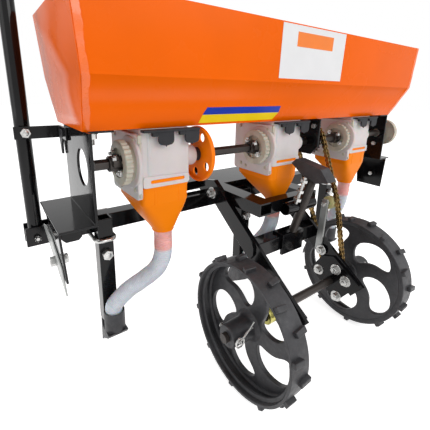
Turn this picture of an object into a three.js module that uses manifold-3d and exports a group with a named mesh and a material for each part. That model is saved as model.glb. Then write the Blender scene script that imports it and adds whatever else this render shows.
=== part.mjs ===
// Three-row seed drill for a walking tractor: hopper, metering units, hoses, openers, drive wheels.
// Millimetres, +Z up, +Y is the direction of travel, -Y is the wheel side, X runs along the toolbar.
// The model is drawn from the metering shaft's axis and then set down on its wheels.
import * as THREE from 'three';
import { mergeVertices } from 'three/addons/utils/BufferGeometryUtils.js';
import Module from 'manifold-3d';

const wasm = await Module();
wasm.setup();

// ---------- driving dimensions ----------
const FIT_GAP = 0.3;                 // seated pieces whose faces are round or slanted
const RUN_GAP = 0.6;                 // a shaft in its bore
const ROUND_STEPS = 20;

const shaftFlats = 18;               // hexagonal metering shaft, across its flats
const shaftLeftInset = 20;           // inside the left side plate
const shaftRightReach = 62;          // past the right side plate

const unitPitch = 350;               // row to row along the shaft
const unitCount = 3;
const unitCentreX = -9;
const unitBodyWidth = 108;
const unitRearY = -32;
const unitDepth = 127;
const unitBodyBottomZ = -50;
const flangeDepth = 135;             // square face that carries the dial
const flangeTopZ = 56;
const flangeBottomZ = -72;
const flangeThickness = 8;
const dialRadius = 43.5;
const dialThickness = 22;
const dialHubRadius = 15;
const dialHubLength = 18;            // the clamping hub stands out from the dial's face
const neckRadius = 22;
const neckLength = 26;
const dialSeatRadius = 30;

const funnelSkirtZ = -85;
const funnelOutletZ = -158;
const funnelOutletShift = 8;         // the outlet sits off the unit's middle
const funnelOutletWidth = 44;
const funnelOutletY = 4;
const spigotLength = 18;

const hoseRadius = 20.5;
const hoseWall = 2.2;
const hoseSides = 12;
const hoseSteps = 11;

const gateRailWidth = 122;
const gateRailDepth = 16;
const gateRailThickness = 5;
const gateRailDrop = 7;                // from the hopper's floor to the rail's underside
const gateTongueWidth = 33;
const gateTongueDrop = 26;
const gateTongueSpread = 58;

const hopperWall = 2.5;
const hopperBottom = { z: 66, overhang: 2.7, rearY: -31.2, frontY: 163 };
const hopperCrease = { z: 155.7, overhang: 10.7, rearY: -79.4, frontY: 211.2 };
const hopperTop = { z: 277.6, overhang: 20.3, rearY: -82.8, frontY: 214.6 };
const seedHoleWidth = 62;
const seedHoleDepth = 48;

const plateOuterX = 510;             // outer face of each side plate
const plateThickness = 5;
const plateRearY = { left: -58, right: -30 };
const plateLength = 180;
const plateBottomZ = -90;
const plateHoleRadius = { left: 34, right: 14 };
const plateTopFlange = 50;
const plateFlangeThickness = 4;
const footPlateThickness = 5;
const footLength = 44;
const saddleWidth = 44;
const saddleBottomZ = -206;
const shelfReach = 59;               // from the side plate out to the folded leg
const shelfThickness = 4;
const legDrop = 116;
const legTiltDeg = 5;
const legTopLength = 112;
const legSlope = { left: 26, right: 0 };
const bladeThickness = 3;
const bladeLift = { left: 0, right: 34 };
const bladeReach = { left: 152, right: 100 };

const toolbarSize = 40;
const toolbarRearY = 148.5;
const toolbarTopZ = -158;
const toolbarOverhang = 37;          // past each side plate
const toolbarHalfX = plateOuterX + toolbarOverhang;
const toolbarWall = 3;

const openerMiddleX = -3;
const openerPitch = 440;
const shankSize = 35;
const shankWall = 3.5;
const shankTopZ = -155;
const shankBottomZ = -430;
const bootMouthZ = -380;
const bootMouthRadius = 24.5;
const bootWall = 1.5;
const bootTipY = 201;
const bootNoseWidth = 6;

const clampRod = 10;
const clampPlateThickness = 6;
const clampPlateHeight = 58;
const clampPlateHalfWidth = 31;
const clampRodDrop = 3;              // below the toolbar's underside

const frameHalfX = 111.3;
const frameRearY = -52;
const frameTopZ = -135;
const frameHeight = 34;
const frameRailWidth = 45;
const frameCrossDepth = 28;
const frameTongueEndY = 250;
const frameWingHalfX = 160;
const frameWingRearY = 211;
const frameWingFrontY = 290;
const drawbarWidth = 60;
const drawbarHeight = 40;
const drawbarWall = 4;
const hitchFaceY = 420;
const hitchThickness = 10;
const hitchWidth = 110;
const hitchHeight = 120;
const hitchHoleRadius = 8.5;
const hitchHoleSpacing = 70;

const axleY = -132.5;
const axleZ = -382.1;
const axleRadius = 11;
const wheelRimRadius = 155.8;
const lugHeight = 9.1;
const lugPairs = 10;                 // one lug at the outer edge and one at the inner edge
const lugSlant = 0.25;
const lugEdgeGap = 1;
const lugOuterDeg = { left: 23.4, right: 30 };
const wheelSides = 42;
const lugWidth = 10;
const wheelInnerX = 193.9;
const wheelOuterX = 244.5;
const hubOuterX = 272;
const hubRadius = 26;
const webInnerX = 196;
const webThickness = 10;
const spokeCount = 5;
// The hole between two spokes: radius, then the degrees of its two edges from the hole's middle.
const spokeHoleEdges = [
  [45, -15, 1], [60, -25, 8], [75, -27, 14], [90, -25, 21], [105, -20, 30], [120, -11, 33], [131, -3, 27],
  [138, 6, 17]];
const spokeHoleDeg = { left: 216, right: 196 };
const rimWall = 8;
const rimLip = 14;

const armOuterX = 120;
const armAngleDeg = 35.5;
const armDepth = 50.6;
const armEdgeZ = -198.5;             // height of the arm's upper edge straight below the shaft
const armRearY = -224;
const armFrontY = 140;
const lugPlateThickness = 6;
const lugPlateFrontY = 192;
const lugPlateRearY = { left: -52, right: -4 };
const crossTubeSize = 40;
const crossTubeY = -37;
const crossTubeZ = -260;
const bearingPlateThickness = 6;
const bearingRadius = 21;
const bearingOuterX = { left: 156, right: 120 };

const chainX = 129.5;
const chainHalfWidth = 7.5;
const chainHalfHeight = 5.5;
const upperSprocketPitchRadius = 44.6;
const lowerSprocketPitchRadius = 28.4;
const sprocketThickness = 4;
const rollerRadius = 18;
const rollerWidth = 16;
const rollerY = -88;
const rollerZ = -164;
const tensionerPivotY = -82;
const tensionerPivotZ = -300;
const tensionerWidth = 19;
const tensionerThickness = 6;

const hangerX = 104;
const hangerThickness = 5;
const hangerWidth = 92;
const hangerFootHalf = 24;
const hangerBottomZ = -34;
const hangerFlange = 30;
const indexDiscOffset = 96;          // from the first unit's middle
const indexDiscRadius = 61;
const indexDiscThickness = 5;
const indexHoleDeg = [24, 114, 214, 280];
const endDialReach = 50;             // its middle, past the right side plate
const endDialRadius = 45;

const adjusterX = 14;
const adjusterTubeRadius = 17;
const adjusterTubeLeftX = -38;
const adjusterTubeRightX = 72;
const adjusterRodRadius = 11;
const adjusterRodTop = { y: -108, z: -62 };
const adjusterRodFoot = { y: -60, z: -232 };
const castingLength = 112;
const castingWidth = 34;
const castingHeight = 34;

const markerReach = 32;              // its axis, past the toolbar's end
const markerTubeRadius = 14.4;
const markerPivotZ = -179;
const markerFootDrop = 11;
const markerTubeTopZ = 318;
const markerRodRadius = 8;
const markerRodRise = 60;
const markerTipReach = 30;
const bracketLength = 53;
const bracketThickness = 5;
const bracketHeight = 42;
const bracketTopZ = -155;
const pivotBoltRadius = 6;
const pinOverhang = 10;
const strapThickness = 5;
const strapHeight = 25;
const strapZ = 48;
const strapReach = 50;
const strapRearGap = 5.5;

// ---------- materials ----------
function material(colour, roughness, metalness) {
  return new THREE.MeshStandardMaterial({ color: colour, roughness, metalness });
}

const orangePaint = () => material(0xf06000, 0.25, 0.1);
const orangePlastic = () => material(0xff8a00, 0.4, 0);
const milkPlastic = () => material(0xe8dcdc, 0.45, 0);
const ivoryPlastic = () => material(0xd8d0b8, 0.5, 0);
const blackPaint = () => material(0x17171a, 0.25, 0.2);
const greyCasting = () => material(0x35363a, 0.5, 0.5);
const darkSteel = () => material(0x3a3733, 0.45, 0.7);
const zincSteel = () => material(0xc4c4c2, 0.3, 0.9);
const chainSteel = () => material(0x4a4030, 0.4, 0.8);
const hosePlastic = () => material(0xdde2e6, 0.5, 0);
const darkPlastic = () => material(0x3d3f42, 0.5, 0);

// ---------- solids ----------
function toSolid(geometry) {
  const bare = geometry.clone();
  bare.deleteAttribute('normal');
  bare.deleteAttribute('uv');
  const merged = mergeVertices(bare, 1e-4);
  return new wasm.Manifold(new wasm.Mesh({
    numProp: 3,
    vertProperties: new Float32Array(merged.attributes.position.array),
    triVerts: new Uint32Array(merged.index.array),
  }));
}

function toGeometry(solid) {
  const mesh = solid.getMesh();
  const geometry = new THREE.BufferGeometry();
  geometry.setAttribute('position', new THREE.BufferAttribute(new Float32Array(mesh.vertProperties), 3));
  geometry.setIndex(new THREE.BufferAttribute(new Uint32Array(mesh.triVerts), 1));
  return geometry;
}

function union(...solids) {
  return solids.reduce((sum, next) => sum.add(next));
}

function box(x0, x1, y0, y1, z0, z1) {
  const geometry = new THREE.BoxGeometry(x1 - x0, y1 - y0, z1 - z0);
  geometry.translate((x0 + x1) / 2, (y0 + y1) / 2, (z0 + z1) / 2);
  return toSolid(geometry);
}

// A round or polygonal bar along X between two stations.
function barX(x0, x1, y, z, radius, sides = ROUND_STEPS) {
  const geometry = new THREE.CylinderGeometry(radius, radius, x1 - x0, sides);
  geometry.rotateZ(Math.PI / 2);
  geometry.translate((x0 + x1) / 2, y, z);
  return toSolid(geometry);
}

function barY(x, y0, y1, z, radius, sides = ROUND_STEPS) {
  const geometry = new THREE.CylinderGeometry(radius, radius, y1 - y0, sides);
  geometry.translate(x, (y0 + y1) / 2, z);
  return toSolid(geometry);
}

function barZ(x, y, z0, z1, radius, sides = ROUND_STEPS) {
  const geometry = new THREE.CylinderGeometry(radius, radius, z1 - z0, sides);
  geometry.rotateX(Math.PI / 2);
  geometry.translate(x, y, (z0 + z1) / 2);
  return toSolid(geometry);
}

// A bar between two points of the plane X = x.
function barBetween(x, from, to, radius, sides = ROUND_STEPS) {
  const start = new THREE.Vector3(x, from.y, from.z);
  const end = new THREE.Vector3(x, to.y, to.z);
  const direction = end.clone().sub(start);
  const geometry = new THREE.CylinderGeometry(radius, radius, direction.length(), sides);
  const up = new THREE.Vector3(0, 1, 0);
  geometry.applyQuaternion(new THREE.Quaternion().setFromUnitVectors(up, direction.clone().normalize()));
  const middle = start.add(end).multiplyScalar(0.5);
  geometry.translate(middle.x, middle.y, middle.z);
  return toSolid(geometry);
}

function shapeOf(points) {
  return new THREE.Shape(points.map(([u, v]) => new THREE.Vector2(u, v)));
}

function extrude(shape, depth) {
  return new THREE.ExtrudeGeometry(shape, { depth, bevelEnabled: false, steps: 1 });
}

// A plate whose outline is given in (y, z), standing in the planes from x0 to x1.
function plateYZ(outline, x0, x1, holes = []) {
  const shape = outline instanceof THREE.Shape ? outline : shapeOf(outline);
  holes.forEach((hole) => shape.holes.push(hole));
  const geometry = extrude(shape, x1 - x0);
  const frame = new THREE.Matrix4().makeBasis(
    new THREE.Vector3(0, 1, 0), new THREE.Vector3(0, 0, 1), new THREE.Vector3(1, 0, 0));
  geometry.applyMatrix4(frame);
  geometry.translate(x0, 0, 0);
  return toSolid(geometry);
}

// A plate whose outline is given in (x, z), from y0 to y1.
function plateXZ(outline, y0, y1) {
  const geometry = extrude(shapeOf(outline), y1 - y0);
  const frame = new THREE.Matrix4().makeBasis(
    new THREE.Vector3(1, 0, 0), new THREE.Vector3(0, 0, 1), new THREE.Vector3(0, -1, 0));
  geometry.applyMatrix4(frame);
  geometry.translate(0, y1, 0);
  return toSolid(geometry);
}

// A plate whose outline is given in (x, y), from z0 to z1.
function plateXY(outline, z0, z1) {
  const geometry = extrude(shapeOf(outline), z1 - z0);
  geometry.translate(0, 0, z0);
  return toSolid(geometry);
}

// A closed shell lofted through horizontal rectangles, listed from the bottom up.
function loftRectangles(levels) {
  const positions = [];
  levels.forEach(({ z, x0, x1, y0, y1 }) => {
    positions.push(x0, y0, z, x1, y0, z, x1, y1, z, x0, y1, z);
  });
  const index = [0, 2, 1, 0, 3, 2];
  for (let level = 0; level < levels.length - 1; level += 1) {
    for (let side = 0; side < 4; side += 1) {
      const a = level * 4 + side;
      const b = level * 4 + (side + 1) % 4;
      index.push(a, b, b + 4, a, b + 4, a + 4);
    }
  }
  const top = (levels.length - 1) * 4;
  index.push(top, top + 1, top + 2, top, top + 2, top + 3);
  const geometry = new THREE.BufferGeometry();
  geometry.setAttribute('position', new THREE.Float32BufferAttribute(positions, 3));
  geometry.setIndex(index);
  return toSolid(geometry);
}

// A closed solid lofted through rounded rectangles, whose squareness runs from 2, an ellipse, upward.
function loftRounded(levels) {
  const around = 32;
  const positions = [];
  const bend = (value, power) => Math.sign(value) * Math.abs(value) ** (2 / power);
  levels.forEach(({ z, x, y, halfX, halfY, squareness }) => {
    for (let i = 0; i < around; i += 1) {
      const angle = (i + 0.5) * Math.PI * 2 / around;
      const across = halfX * bend(Math.cos(angle), squareness);
      const along = halfY * bend(Math.sin(angle), squareness);
      positions.push(x + across, y + along, z);
    }
  });
  const index = [];
  for (let i = 1; i < around - 1; i += 1) index.push(0, i + 1, i);
  for (let level = 0; level < levels.length - 1; level += 1) {
    for (let i = 0; i < around; i += 1) {
      const a = level * around + i;
      const b = level * around + (i + 1) % around;
      index.push(a, b, b + around, a, b + around, a + around);
    }
  }
  const top = (levels.length - 1) * around;
  for (let i = 1; i < around - 1; i += 1) index.push(top, top + i, top + i + 1);
  const geometry = new THREE.BufferGeometry();
  geometry.setAttribute('position', new THREE.Float32BufferAttribute(positions, 3));
  geometry.setIndex(index);
  return toSolid(geometry);
}

function tubeAlong(points, outerRadius, innerRadius, sides, steps) {
  const ring = (radius, clockwise) => {
    const corners = [];
    for (let i = 0; i < sides; i += 1) {
      const angle = (clockwise ? -1 : 1) * i * Math.PI * 2 / sides;
      corners.push(new THREE.Vector2(Math.cos(angle) * radius, Math.sin(angle) * radius));
    }
    return corners;
  };
  const shape = new THREE.Shape(ring(outerRadius, false));
  if (innerRadius > 0) shape.holes.push(new THREE.Path(ring(innerRadius, true)));
  const path = new THREE.CatmullRomCurve3(points.map(([x, y, z]) => new THREE.Vector3(x, y, z)));
  return new THREE.ExtrudeGeometry(shape, { extrudePath: path, steps, bevelEnabled: false });
}

// ---------- scene graph ----------
const seedDrill = new THREE.Group();
const machine = new THREE.Group();
const wheelRadius = wheelRimRadius + lugHeight;
machine.position.set(0, -(hitchFaceY + axleY - wheelRadius) / 2, wheelRadius - axleZ);
seedDrill.add(machine);

function addPart(name, shape, makeMaterial) {
  const geometry = shape.isBufferGeometry ? shape : toGeometry(shape);
  const mesh = new THREE.Mesh(geometry, makeMaterial());
  mesh.name = name;
  machine.add(mesh);
}

const shaftLeftX = shaftLeftInset - plateOuterX;
const shaftRightX = plateOuterX + shaftRightReach;
const endDialX = plateOuterX + endDialReach;
const markerX = -toolbarHalfX - markerReach;
const bracketEndX = toolbarHalfX + bracketLength;
const strapEndX = toolbarHalfX + strapReach;
const clampRodZ = toolbarTopZ - toolbarSize - clampRodDrop - clampRod / 2;
const indexDiscX = unitCentreX - unitPitch * (unitCount - 1) / 2 + indexDiscOffset;
const hexRadius = shaftFlats / Math.sqrt(3);
const shaftBore = hexRadius + RUN_GAP;
const unitX = [];
const openerCentreX = [];
for (let unit = 0; unit < unitCount; unit += 1) {
  const place = unit - (unitCount - 1) / 2;
  unitX.push(unitCentreX + place * unitPitch);
  openerCentreX.push(openerMiddleX + place * openerPitch);
}

// ---------- hopper ----------
function hopperLevel({ z, overhang, rearY, frontY }, wall, lift) {
  const halfX = plateOuterX + overhang;
  return { z: z + lift, x0: wall - halfX, x1: halfX - wall, y0: rearY + wall, y1: frontY - wall };
}

function buildHopper() {
  const outside = loftRectangles([
    hopperLevel(hopperBottom, 0, 0), hopperLevel(hopperCrease, 0, 0), hopperLevel(hopperTop, 0, 0)]);
  const inside = loftRectangles([
    hopperLevel(hopperBottom, hopperWall, hopperWall), hopperLevel(hopperCrease, hopperWall, 0),
    hopperLevel(hopperTop, hopperWall, 1)]);
  let hopper = outside.subtract(inside);
  unitX.forEach((x) => {
    const middleY = unitRearY + unitDepth / 2;
    hopper = hopper.subtract(box(
      x - seedHoleWidth / 2, x + seedHoleWidth / 2, middleY - seedHoleDepth / 2,
      middleY + seedHoleDepth / 2, hopperBottom.z - 1, hopperBottom.z + hopperWall + 1));
  });
  addPart('hopper', hopper, orangePaint);
}

// ---------- metering units ----------
function buildUnit(x, number) {
  const bodyLeft = x - unitBodyWidth / 2;
  const bodyRight = x + unitBodyWidth / 2;
  const frontY = unitRearY + unitDepth;
  const flangeLeft = bodyLeft - flangeThickness;
  const flangeRearY = unitRearY - 3;
  const corner = 9;
  const flangeOutline = [
    [flangeRearY, flangeBottomZ + corner], [flangeRearY + corner, flangeBottomZ],
    [flangeRearY + flangeDepth - corner, flangeBottomZ], [flangeRearY + flangeDepth, flangeBottomZ + corner],
    [flangeRearY + flangeDepth, flangeTopZ], [flangeRearY, flangeTopZ]];
  const seat = barX(flangeLeft - 3, flangeLeft + 1, 0, 0, dialSeatRadius);
  const housing = union(
    box(bodyLeft, bodyRight, unitRearY, frontY, unitBodyBottomZ, hopperBottom.z),
    plateYZ(flangeOutline, flangeLeft, bodyLeft), seat,
    barX(bodyRight - 1, bodyRight + neckLength, 0, 0, neckRadius));
  const boreLeft = flangeLeft - dialThickness - dialHubLength - 9;
  const bore = barX(boreLeft, bodyRight + neckLength + 9, 0, 0, shaftBore);
  addPart(`meter_housing_${number}`, housing.subtract(bore), milkPlastic);

  const dialRight = flangeLeft - 3;
  const dial = barX(dialRight - dialThickness, dialRight, 0, 0, dialRadius, 36)
    .subtract(barX(dialRight - dialThickness - 1, dialRight - 6, 0, 0, dialSeatRadius - 3));
  const dialFace = dialRight - dialThickness;
  const dialHub = barX(dialFace - dialHubLength, dialRight - 5, 0, 0, dialHubRadius);
  addPart(`metering_dial_${number}`, dial.add(dialHub).subtract(bore), ivoryPlastic);

  const half = funnelOutletWidth / 2;
  const outletX = x + funnelOutletShift;
  const middleY = (unitRearY + frontY) / 2;
  const skirt = { x, y: middleY, halfX: unitBodyWidth / 2, halfY: unitDepth / 2, squareness: 9 };
  const cone = loftRounded([
    { z: funnelOutletZ, x: outletX, y: funnelOutletY, halfX: half, halfY: half, squareness: 2 },
    {
      z: funnelOutletZ + 12, x: outletX - 1, y: funnelOutletY + 2, halfX: half + 5, halfY: half + 6,
      squareness: 2.6,
    },
    {
      z: funnelSkirtZ - 34, x: x + 4, y: funnelOutletY + 14, halfX: half + 20, halfY: half + 23,
      squareness: 4,
    },
    { z: funnelSkirtZ, ...skirt }, { z: unitBodyBottomZ, ...skirt }]);
  const spigotRadius = (hoseRadius - hoseWall) * Math.cos(Math.PI / hoseSides) - RUN_GAP;
  const spigot = barZ(outletX, funnelOutletY, funnelOutletZ - spigotLength, funnelOutletZ + 1, spigotRadius,
    hoseSides);
  addPart(`funnel_${number}`, union(cone, spigot), orangePlastic);

  const railY = unitRearY - gateRailDepth;
  const railZ = hopperBottom.z - gateRailDrop;
  const railLeft = x - unitBodyWidth / 2 + 1;
  const rail = box(railLeft, railLeft + gateRailWidth, railY, unitRearY, railZ, railZ + gateRailThickness);
  const tongues = [0, 1].map((side) => {
    const left = x - 22 + side * gateTongueSpread;
    const right = left + gateTongueWidth;
    const low = railZ - gateTongueDrop;
    return plateXZ([
      [left, railZ + 1], [left, low], [left + 6, low - 6], [right - 6, low - 6], [right, low],
      [right, railZ + 1]], railY + 2, railY + 7);
  });
  addPart(`seed_gate_${number}`, union(rail, ...tongues), darkPlastic);
}

// ---------- hoses ----------
function buildHose(x, openerX, number) {
  const mouthY = toolbarRearY - shankSize - bootMouthRadius - FIT_GAP;
  const top = funnelOutletZ - FIT_GAP;
  const sideways = openerX - x;
  const bend = (share, y, z) => [x + sideways * share, y, z];
  const points = [
    bend(0, funnelOutletY, top), bend(0, funnelOutletY, top - 14), bend(0, funnelOutletY, top - 28),
    bend(0, funnelOutletY + 4, top - 66), bend(0.1, funnelOutletY + 18, top - 104),
    bend(0.36, funnelOutletY + 40, top - 136), bend(0.66, funnelOutletY + 62, top - 165),
    bend(0.9, mouthY - 6, top - 196), bend(1, mouthY, bootMouthZ + 8), bend(1, mouthY, bootMouthZ - 14)];
  addPart(`seed_hose_${number}`,
    tubeAlong(points, hoseRadius, hoseRadius - hoseWall, hoseSides, hoseSteps), hosePlastic);
}

// ---------- openers ----------
function buildOpener(x, number) {
  const half = shankSize / 2;
  const shankRear = toolbarRearY - shankSize;
  const shank = box(x - half, x + half, shankRear, toolbarRearY, shankBottomZ, shankTopZ)
    .subtract(box(x - half + shankWall, x + half - shankWall, shankRear + shankWall,
      toolbarRearY - shankWall, shankBottomZ + 30, shankTopZ + 1));
  addPart(`opener_shank_${number}`, shank, blackPaint);

  const mouthY = shankRear - bootMouthRadius - FIT_GAP;
  const floorZ = axleZ - wheelRadius;
  const shoe = plateYZ([
    [mouthY - bootMouthRadius, shankBottomZ - FIT_GAP], [mouthY - bootMouthRadius + 8, shankBottomZ - 12],
    [mouthY + 14, shankBottomZ - 32], [142, floorZ + 58], [178, floorZ + 26], [bootTipY - 3, floorZ],
    [bootTipY, floorZ], [bootTipY - 2, floorZ + 18], [186, floorZ + 56], [170, floorZ + 90],
    [toolbarRearY + 2, shankBottomZ - FIT_GAP]], x - bootMouthRadius, x + bootMouthRadius);
  const plan = plateXY([
    [x - bootMouthRadius, mouthY - 40], [x + bootMouthRadius, mouthY - 40],
    [x + bootMouthRadius, mouthY + 20], [x + bootNoseWidth / 2, bootTipY + 1],
    [x - bootNoseWidth / 2, bootTipY + 1], [x - bootMouthRadius, mouthY + 20]], floorZ - 1, bootMouthZ);
  const pipe = barZ(x, mouthY, shankBottomZ - 4, bootMouthZ, bootMouthRadius);
  const throat = barZ(x, mouthY, shankBottomZ + 4, bootMouthZ + 1, bootMouthRadius - bootWall);
  addPart(`opener_boot_${number}`, union(shoe.intersect(plan), pipe).subtract(throat), greyCasting);

  const rodRadius = clampRod / 2;
  const rodY = shankRear - rodRadius - FIT_GAP;
  const legX = half + rodRadius + FIT_GAP;
  const plateY = toolbarRearY + toolbarSize;
  const farY = plateY + clampPlateThickness + 14;
  const loop = union(
    barY(x - legX, rodY, farY, clampRodZ, rodRadius, 12),
    barY(x + legX, rodY, farY, clampRodZ, rodRadius, 12),
    barX(x - legX - rodRadius, x + legX + rodRadius, rodY, clampRodZ, rodRadius, 12));
  const plate = box(x - clampPlateHalfWidth, x + clampPlateHalfWidth, plateY, plateY + clampPlateThickness,
    toolbarTopZ - FIT_GAP - clampPlateHeight, toolbarTopZ - FIT_GAP);
  addPart(`opener_clamp_${number}`, union(loop, plate), zincSteel);
}

// ---------- toolbar, centre frame and drawbar ----------
function buildToolbar() {
  const frontY = toolbarRearY + toolbarSize;
  const bottomZ = toolbarTopZ - toolbarSize;
  const bore = box(-toolbarHalfX - 1, toolbarHalfX + 1, toolbarRearY + toolbarWall, frontY - toolbarWall,
    bottomZ + toolbarWall, toolbarTopZ - toolbarWall);
  const tube = box(-toolbarHalfX, toolbarHalfX, toolbarRearY, frontY, bottomZ, toolbarTopZ);
  addPart('toolbar', tube.subtract(bore), blackPaint);
}

function buildCentreFrame() {
  const bottomZ = frameTopZ - frameHeight;
  const rails = [-1, 1].map((side) => {
    const outer = side * frameHalfX;
    const inner = side * (frameHalfX - frameRailWidth);
    return box(Math.min(outer, inner), Math.max(outer, inner), frameRearY, toolbarRearY, bottomZ, frameTopZ);
  });
  const rear = box(-frameHalfX, frameHalfX, frameRearY, frameRearY + frameCrossDepth, bottomZ, frameTopZ);
  const straps = [-1, 1].map((side) => {
    const outer = side * frameHalfX;
    const inner = side * (frameHalfX - frameRailWidth);
    return box(Math.min(outer, inner), Math.max(outer, inner), frameRearY, frameTongueEndY,
      toolbarTopZ, frameTopZ);
  });
  const deck = union(
    box(-frameHalfX, frameHalfX, toolbarRearY, frameTongueEndY, toolbarTopZ, frameTopZ),
    box(-frameWingHalfX, frameWingHalfX, frameWingRearY, frameWingFrontY, toolbarTopZ, frameTopZ));
  const socket = box(-frameHalfX + 4, -frameHalfX + frameRailWidth - 4, frameRearY - 1, frameRearY + 20,
    bottomZ + 4, frameTopZ - 4);
  const tubeY = frameRearY - adjusterTubeRadius;
  const tubeZ = frameTopZ - adjusterTubeRadius - 4;
  const tube = barX(adjusterTubeLeftX, adjusterTubeRightX, tubeY + 1, tubeZ, adjusterTubeRadius)
    .subtract(barX(adjusterTubeLeftX - 1, adjusterX - 24, tubeY, tubeZ, adjusterTubeRadius - 3));
  const rodBore = barBetween(adjusterX, adjusterRodTop, adjusterRodFoot, adjusterRodRadius + FIT_GAP, 16);
  const frame = union(...rails, ...straps, rear, deck);
  addPart('centre_frame', frame.subtract(socket).add(tube).subtract(rodBore), blackPaint);
}

function buildDrawbar() {
  const half = drawbarWidth / 2;
  const topZ = toolbarTopZ;
  const rearY = toolbarRearY + toolbarSize + clampPlateThickness + 20;
  const endY = hitchFaceY - hitchThickness;
  const bar = box(-half, half, rearY, endY, topZ - drawbarHeight, topZ)
    .subtract(box(-half + drawbarWall, half - drawbarWall, rearY - 1, endY + 1,
      topZ - drawbarHeight + drawbarWall, topZ - drawbarWall));
  addPart('drawbar', bar, blackPaint);

  const middleZ = topZ - drawbarHeight / 2;
  let plate = box(-hitchWidth / 2, hitchWidth / 2, endY, hitchFaceY,
    middleZ - hitchHeight / 2, middleZ + hitchHeight / 2);
  [-1, 1].forEach((sideX) => {
    [-1, 1].forEach((sideZ) => {
      plate = plate.subtract(barY(sideX * hitchHoleSpacing / 2, endY - 1, hitchFaceY + 1,
        middleZ + sideZ * hitchHoleSpacing / 2, hitchHoleRadius, 16));
    });
  });
  addPart('hitch_plate', plate, blackPaint);
}

// ---------- side plates, shelves, legs and covering blades ----------
function tiltAboutShelf(solid, side) {
  const pivotX = side * (plateOuterX + shelfReach);
  return solid.translate([-pivotX, 0, -plateBottomZ])
    .rotate([0, side * legTiltDeg, 0])
    .translate([pivotX, 0, plateBottomZ]);
}

function buildSidePlate(side, name) {
  const rearY = plateRearY[name];
  const frontY = rearY + plateLength;
  const span = (a, b) => [Math.min(side * a, side * b), Math.max(side * a, side * b)];
  const [x0, x1] = span(plateOuterX - plateThickness, plateOuterX);
  const wall = box(x0, x1, rearY, frontY, plateBottomZ - shelfThickness, hopperBottom.z)
    .subtract(barX(x0 - 1, x1 + 1, 0, 0, plateHoleRadius[name], 36));
  const [t0, t1] = span(plateOuterX - plateTopFlange, plateOuterX);
  const topFlange = box(t0, t1, Math.max(rearY, hopperBottom.rearY), frontY,
    hopperBottom.z - plateFlangeThickness, hopperBottom.z);
  const [s0, s1] = span(plateOuterX - 1, plateOuterX + shelfReach);
  const shelf = box(s0, s1, rearY, frontY, plateBottomZ - shelfThickness, plateBottomZ);

  const slope = legSlope[name];
  const legTop = plateBottomZ - 1;
  const legLow = plateBottomZ - legDrop;
  const [l0, l1] = span(plateOuterX + shelfReach - shelfThickness, plateOuterX + shelfReach);
  const leg = tiltAboutShelf(plateYZ([
    [rearY + 8, legTop], [rearY + 8 + slope, legLow], [rearY + 8 + slope + legTopLength - 20, legLow],
    [rearY + 8 + legTopLength, legTop]], l0, l1), side);
  const toolbarFrontY = toolbarRearY + toolbarSize;
  const [f0, f1] = span(plateOuterX + 2, plateOuterX + 2 + footPlateThickness);
  const web = plateYZ([
    [frontY - 34, plateBottomZ - 1], [frontY - 34, plateBottomZ - 22], [toolbarRearY, toolbarTopZ],
    [toolbarFrontY, toolbarTopZ], [toolbarFrontY, toolbarTopZ + 32], [frontY, plateBottomZ - 1]], f0, f1);
  const [g0, g1] = span(plateOuterX + 2 - footLength / 2, plateOuterX + 2 + footLength / 2);
  const foot = box(g0, g1, toolbarRearY, toolbarFrontY, toolbarTopZ, toolbarTopZ + footPlateThickness);
  const [d0, d1] = span(plateOuterX - saddleWidth / 2, plateOuterX + saddleWidth / 2);
  const saddle = plateXZ([
    [d0, toolbarTopZ + 30], [d0, saddleBottomZ + 8], [d0 + 8, saddleBottomZ], [d1 - 8, saddleBottomZ],
    [d1, saddleBottomZ + 8], [d1, toolbarTopZ + 30]], toolbarRearY - footPlateThickness, toolbarRearY);
  addPart(`side_plate_${name}`, union(wall, topFlange, shelf, leg, web, foot, saddle), blackPaint);

  const [b0, b1] = span(plateOuterX + shelfReach + FIT_GAP, plateOuterX + shelfReach + bladeThickness);
  const bladeRear = rearY + 8 + slope;
  const bladeLow = legLow - 36 + bladeLift[name];
  const blade = tiltAboutShelf(plateYZ([
    [bladeRear + 6, bladeLow + 66], [bladeRear + 18, bladeLow], [bladeRear + 62, bladeLow + 32],
    [bladeRear + bladeReach[name], bladeLow + 100], [bladeRear + bladeReach[name] - 44, bladeLow + 112],
    [bladeRear + 60, bladeLow + 106]], b0, b1), side);
  addPart(`covering_blade_${name}`, blade, zincSteel);
}

// ---------- marker and its brackets ----------
function buildMarkerBracket(side, name) {
  const span = (a, b) => [Math.min(side * a, side * b), Math.max(side * a, side * b)];
  const frontY = toolbarRearY + toolbarSize;
  const [x0, x1] = span(toolbarHalfX, bracketEndX);
  const [c0, c1] = span(toolbarHalfX + bracketThickness, bracketEndX + 1);
  const lowZ = bracketTopZ - bracketHeight;
  const bracket = box(x0, x1, toolbarRearY, frontY, lowZ, bracketTopZ)
    .subtract(box(c0, c1, toolbarRearY + bracketThickness, frontY - bracketThickness, lowZ - 1,
      bracketTopZ + 1));
  const bore = barY(side * Math.abs(markerX), toolbarRearY - 9, frontY + 9, markerPivotZ,
    pivotBoltRadius + FIT_GAP);
  addPart(`marker_bracket_${name}`, bracket.subtract(bore), blackPaint);
}

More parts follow.
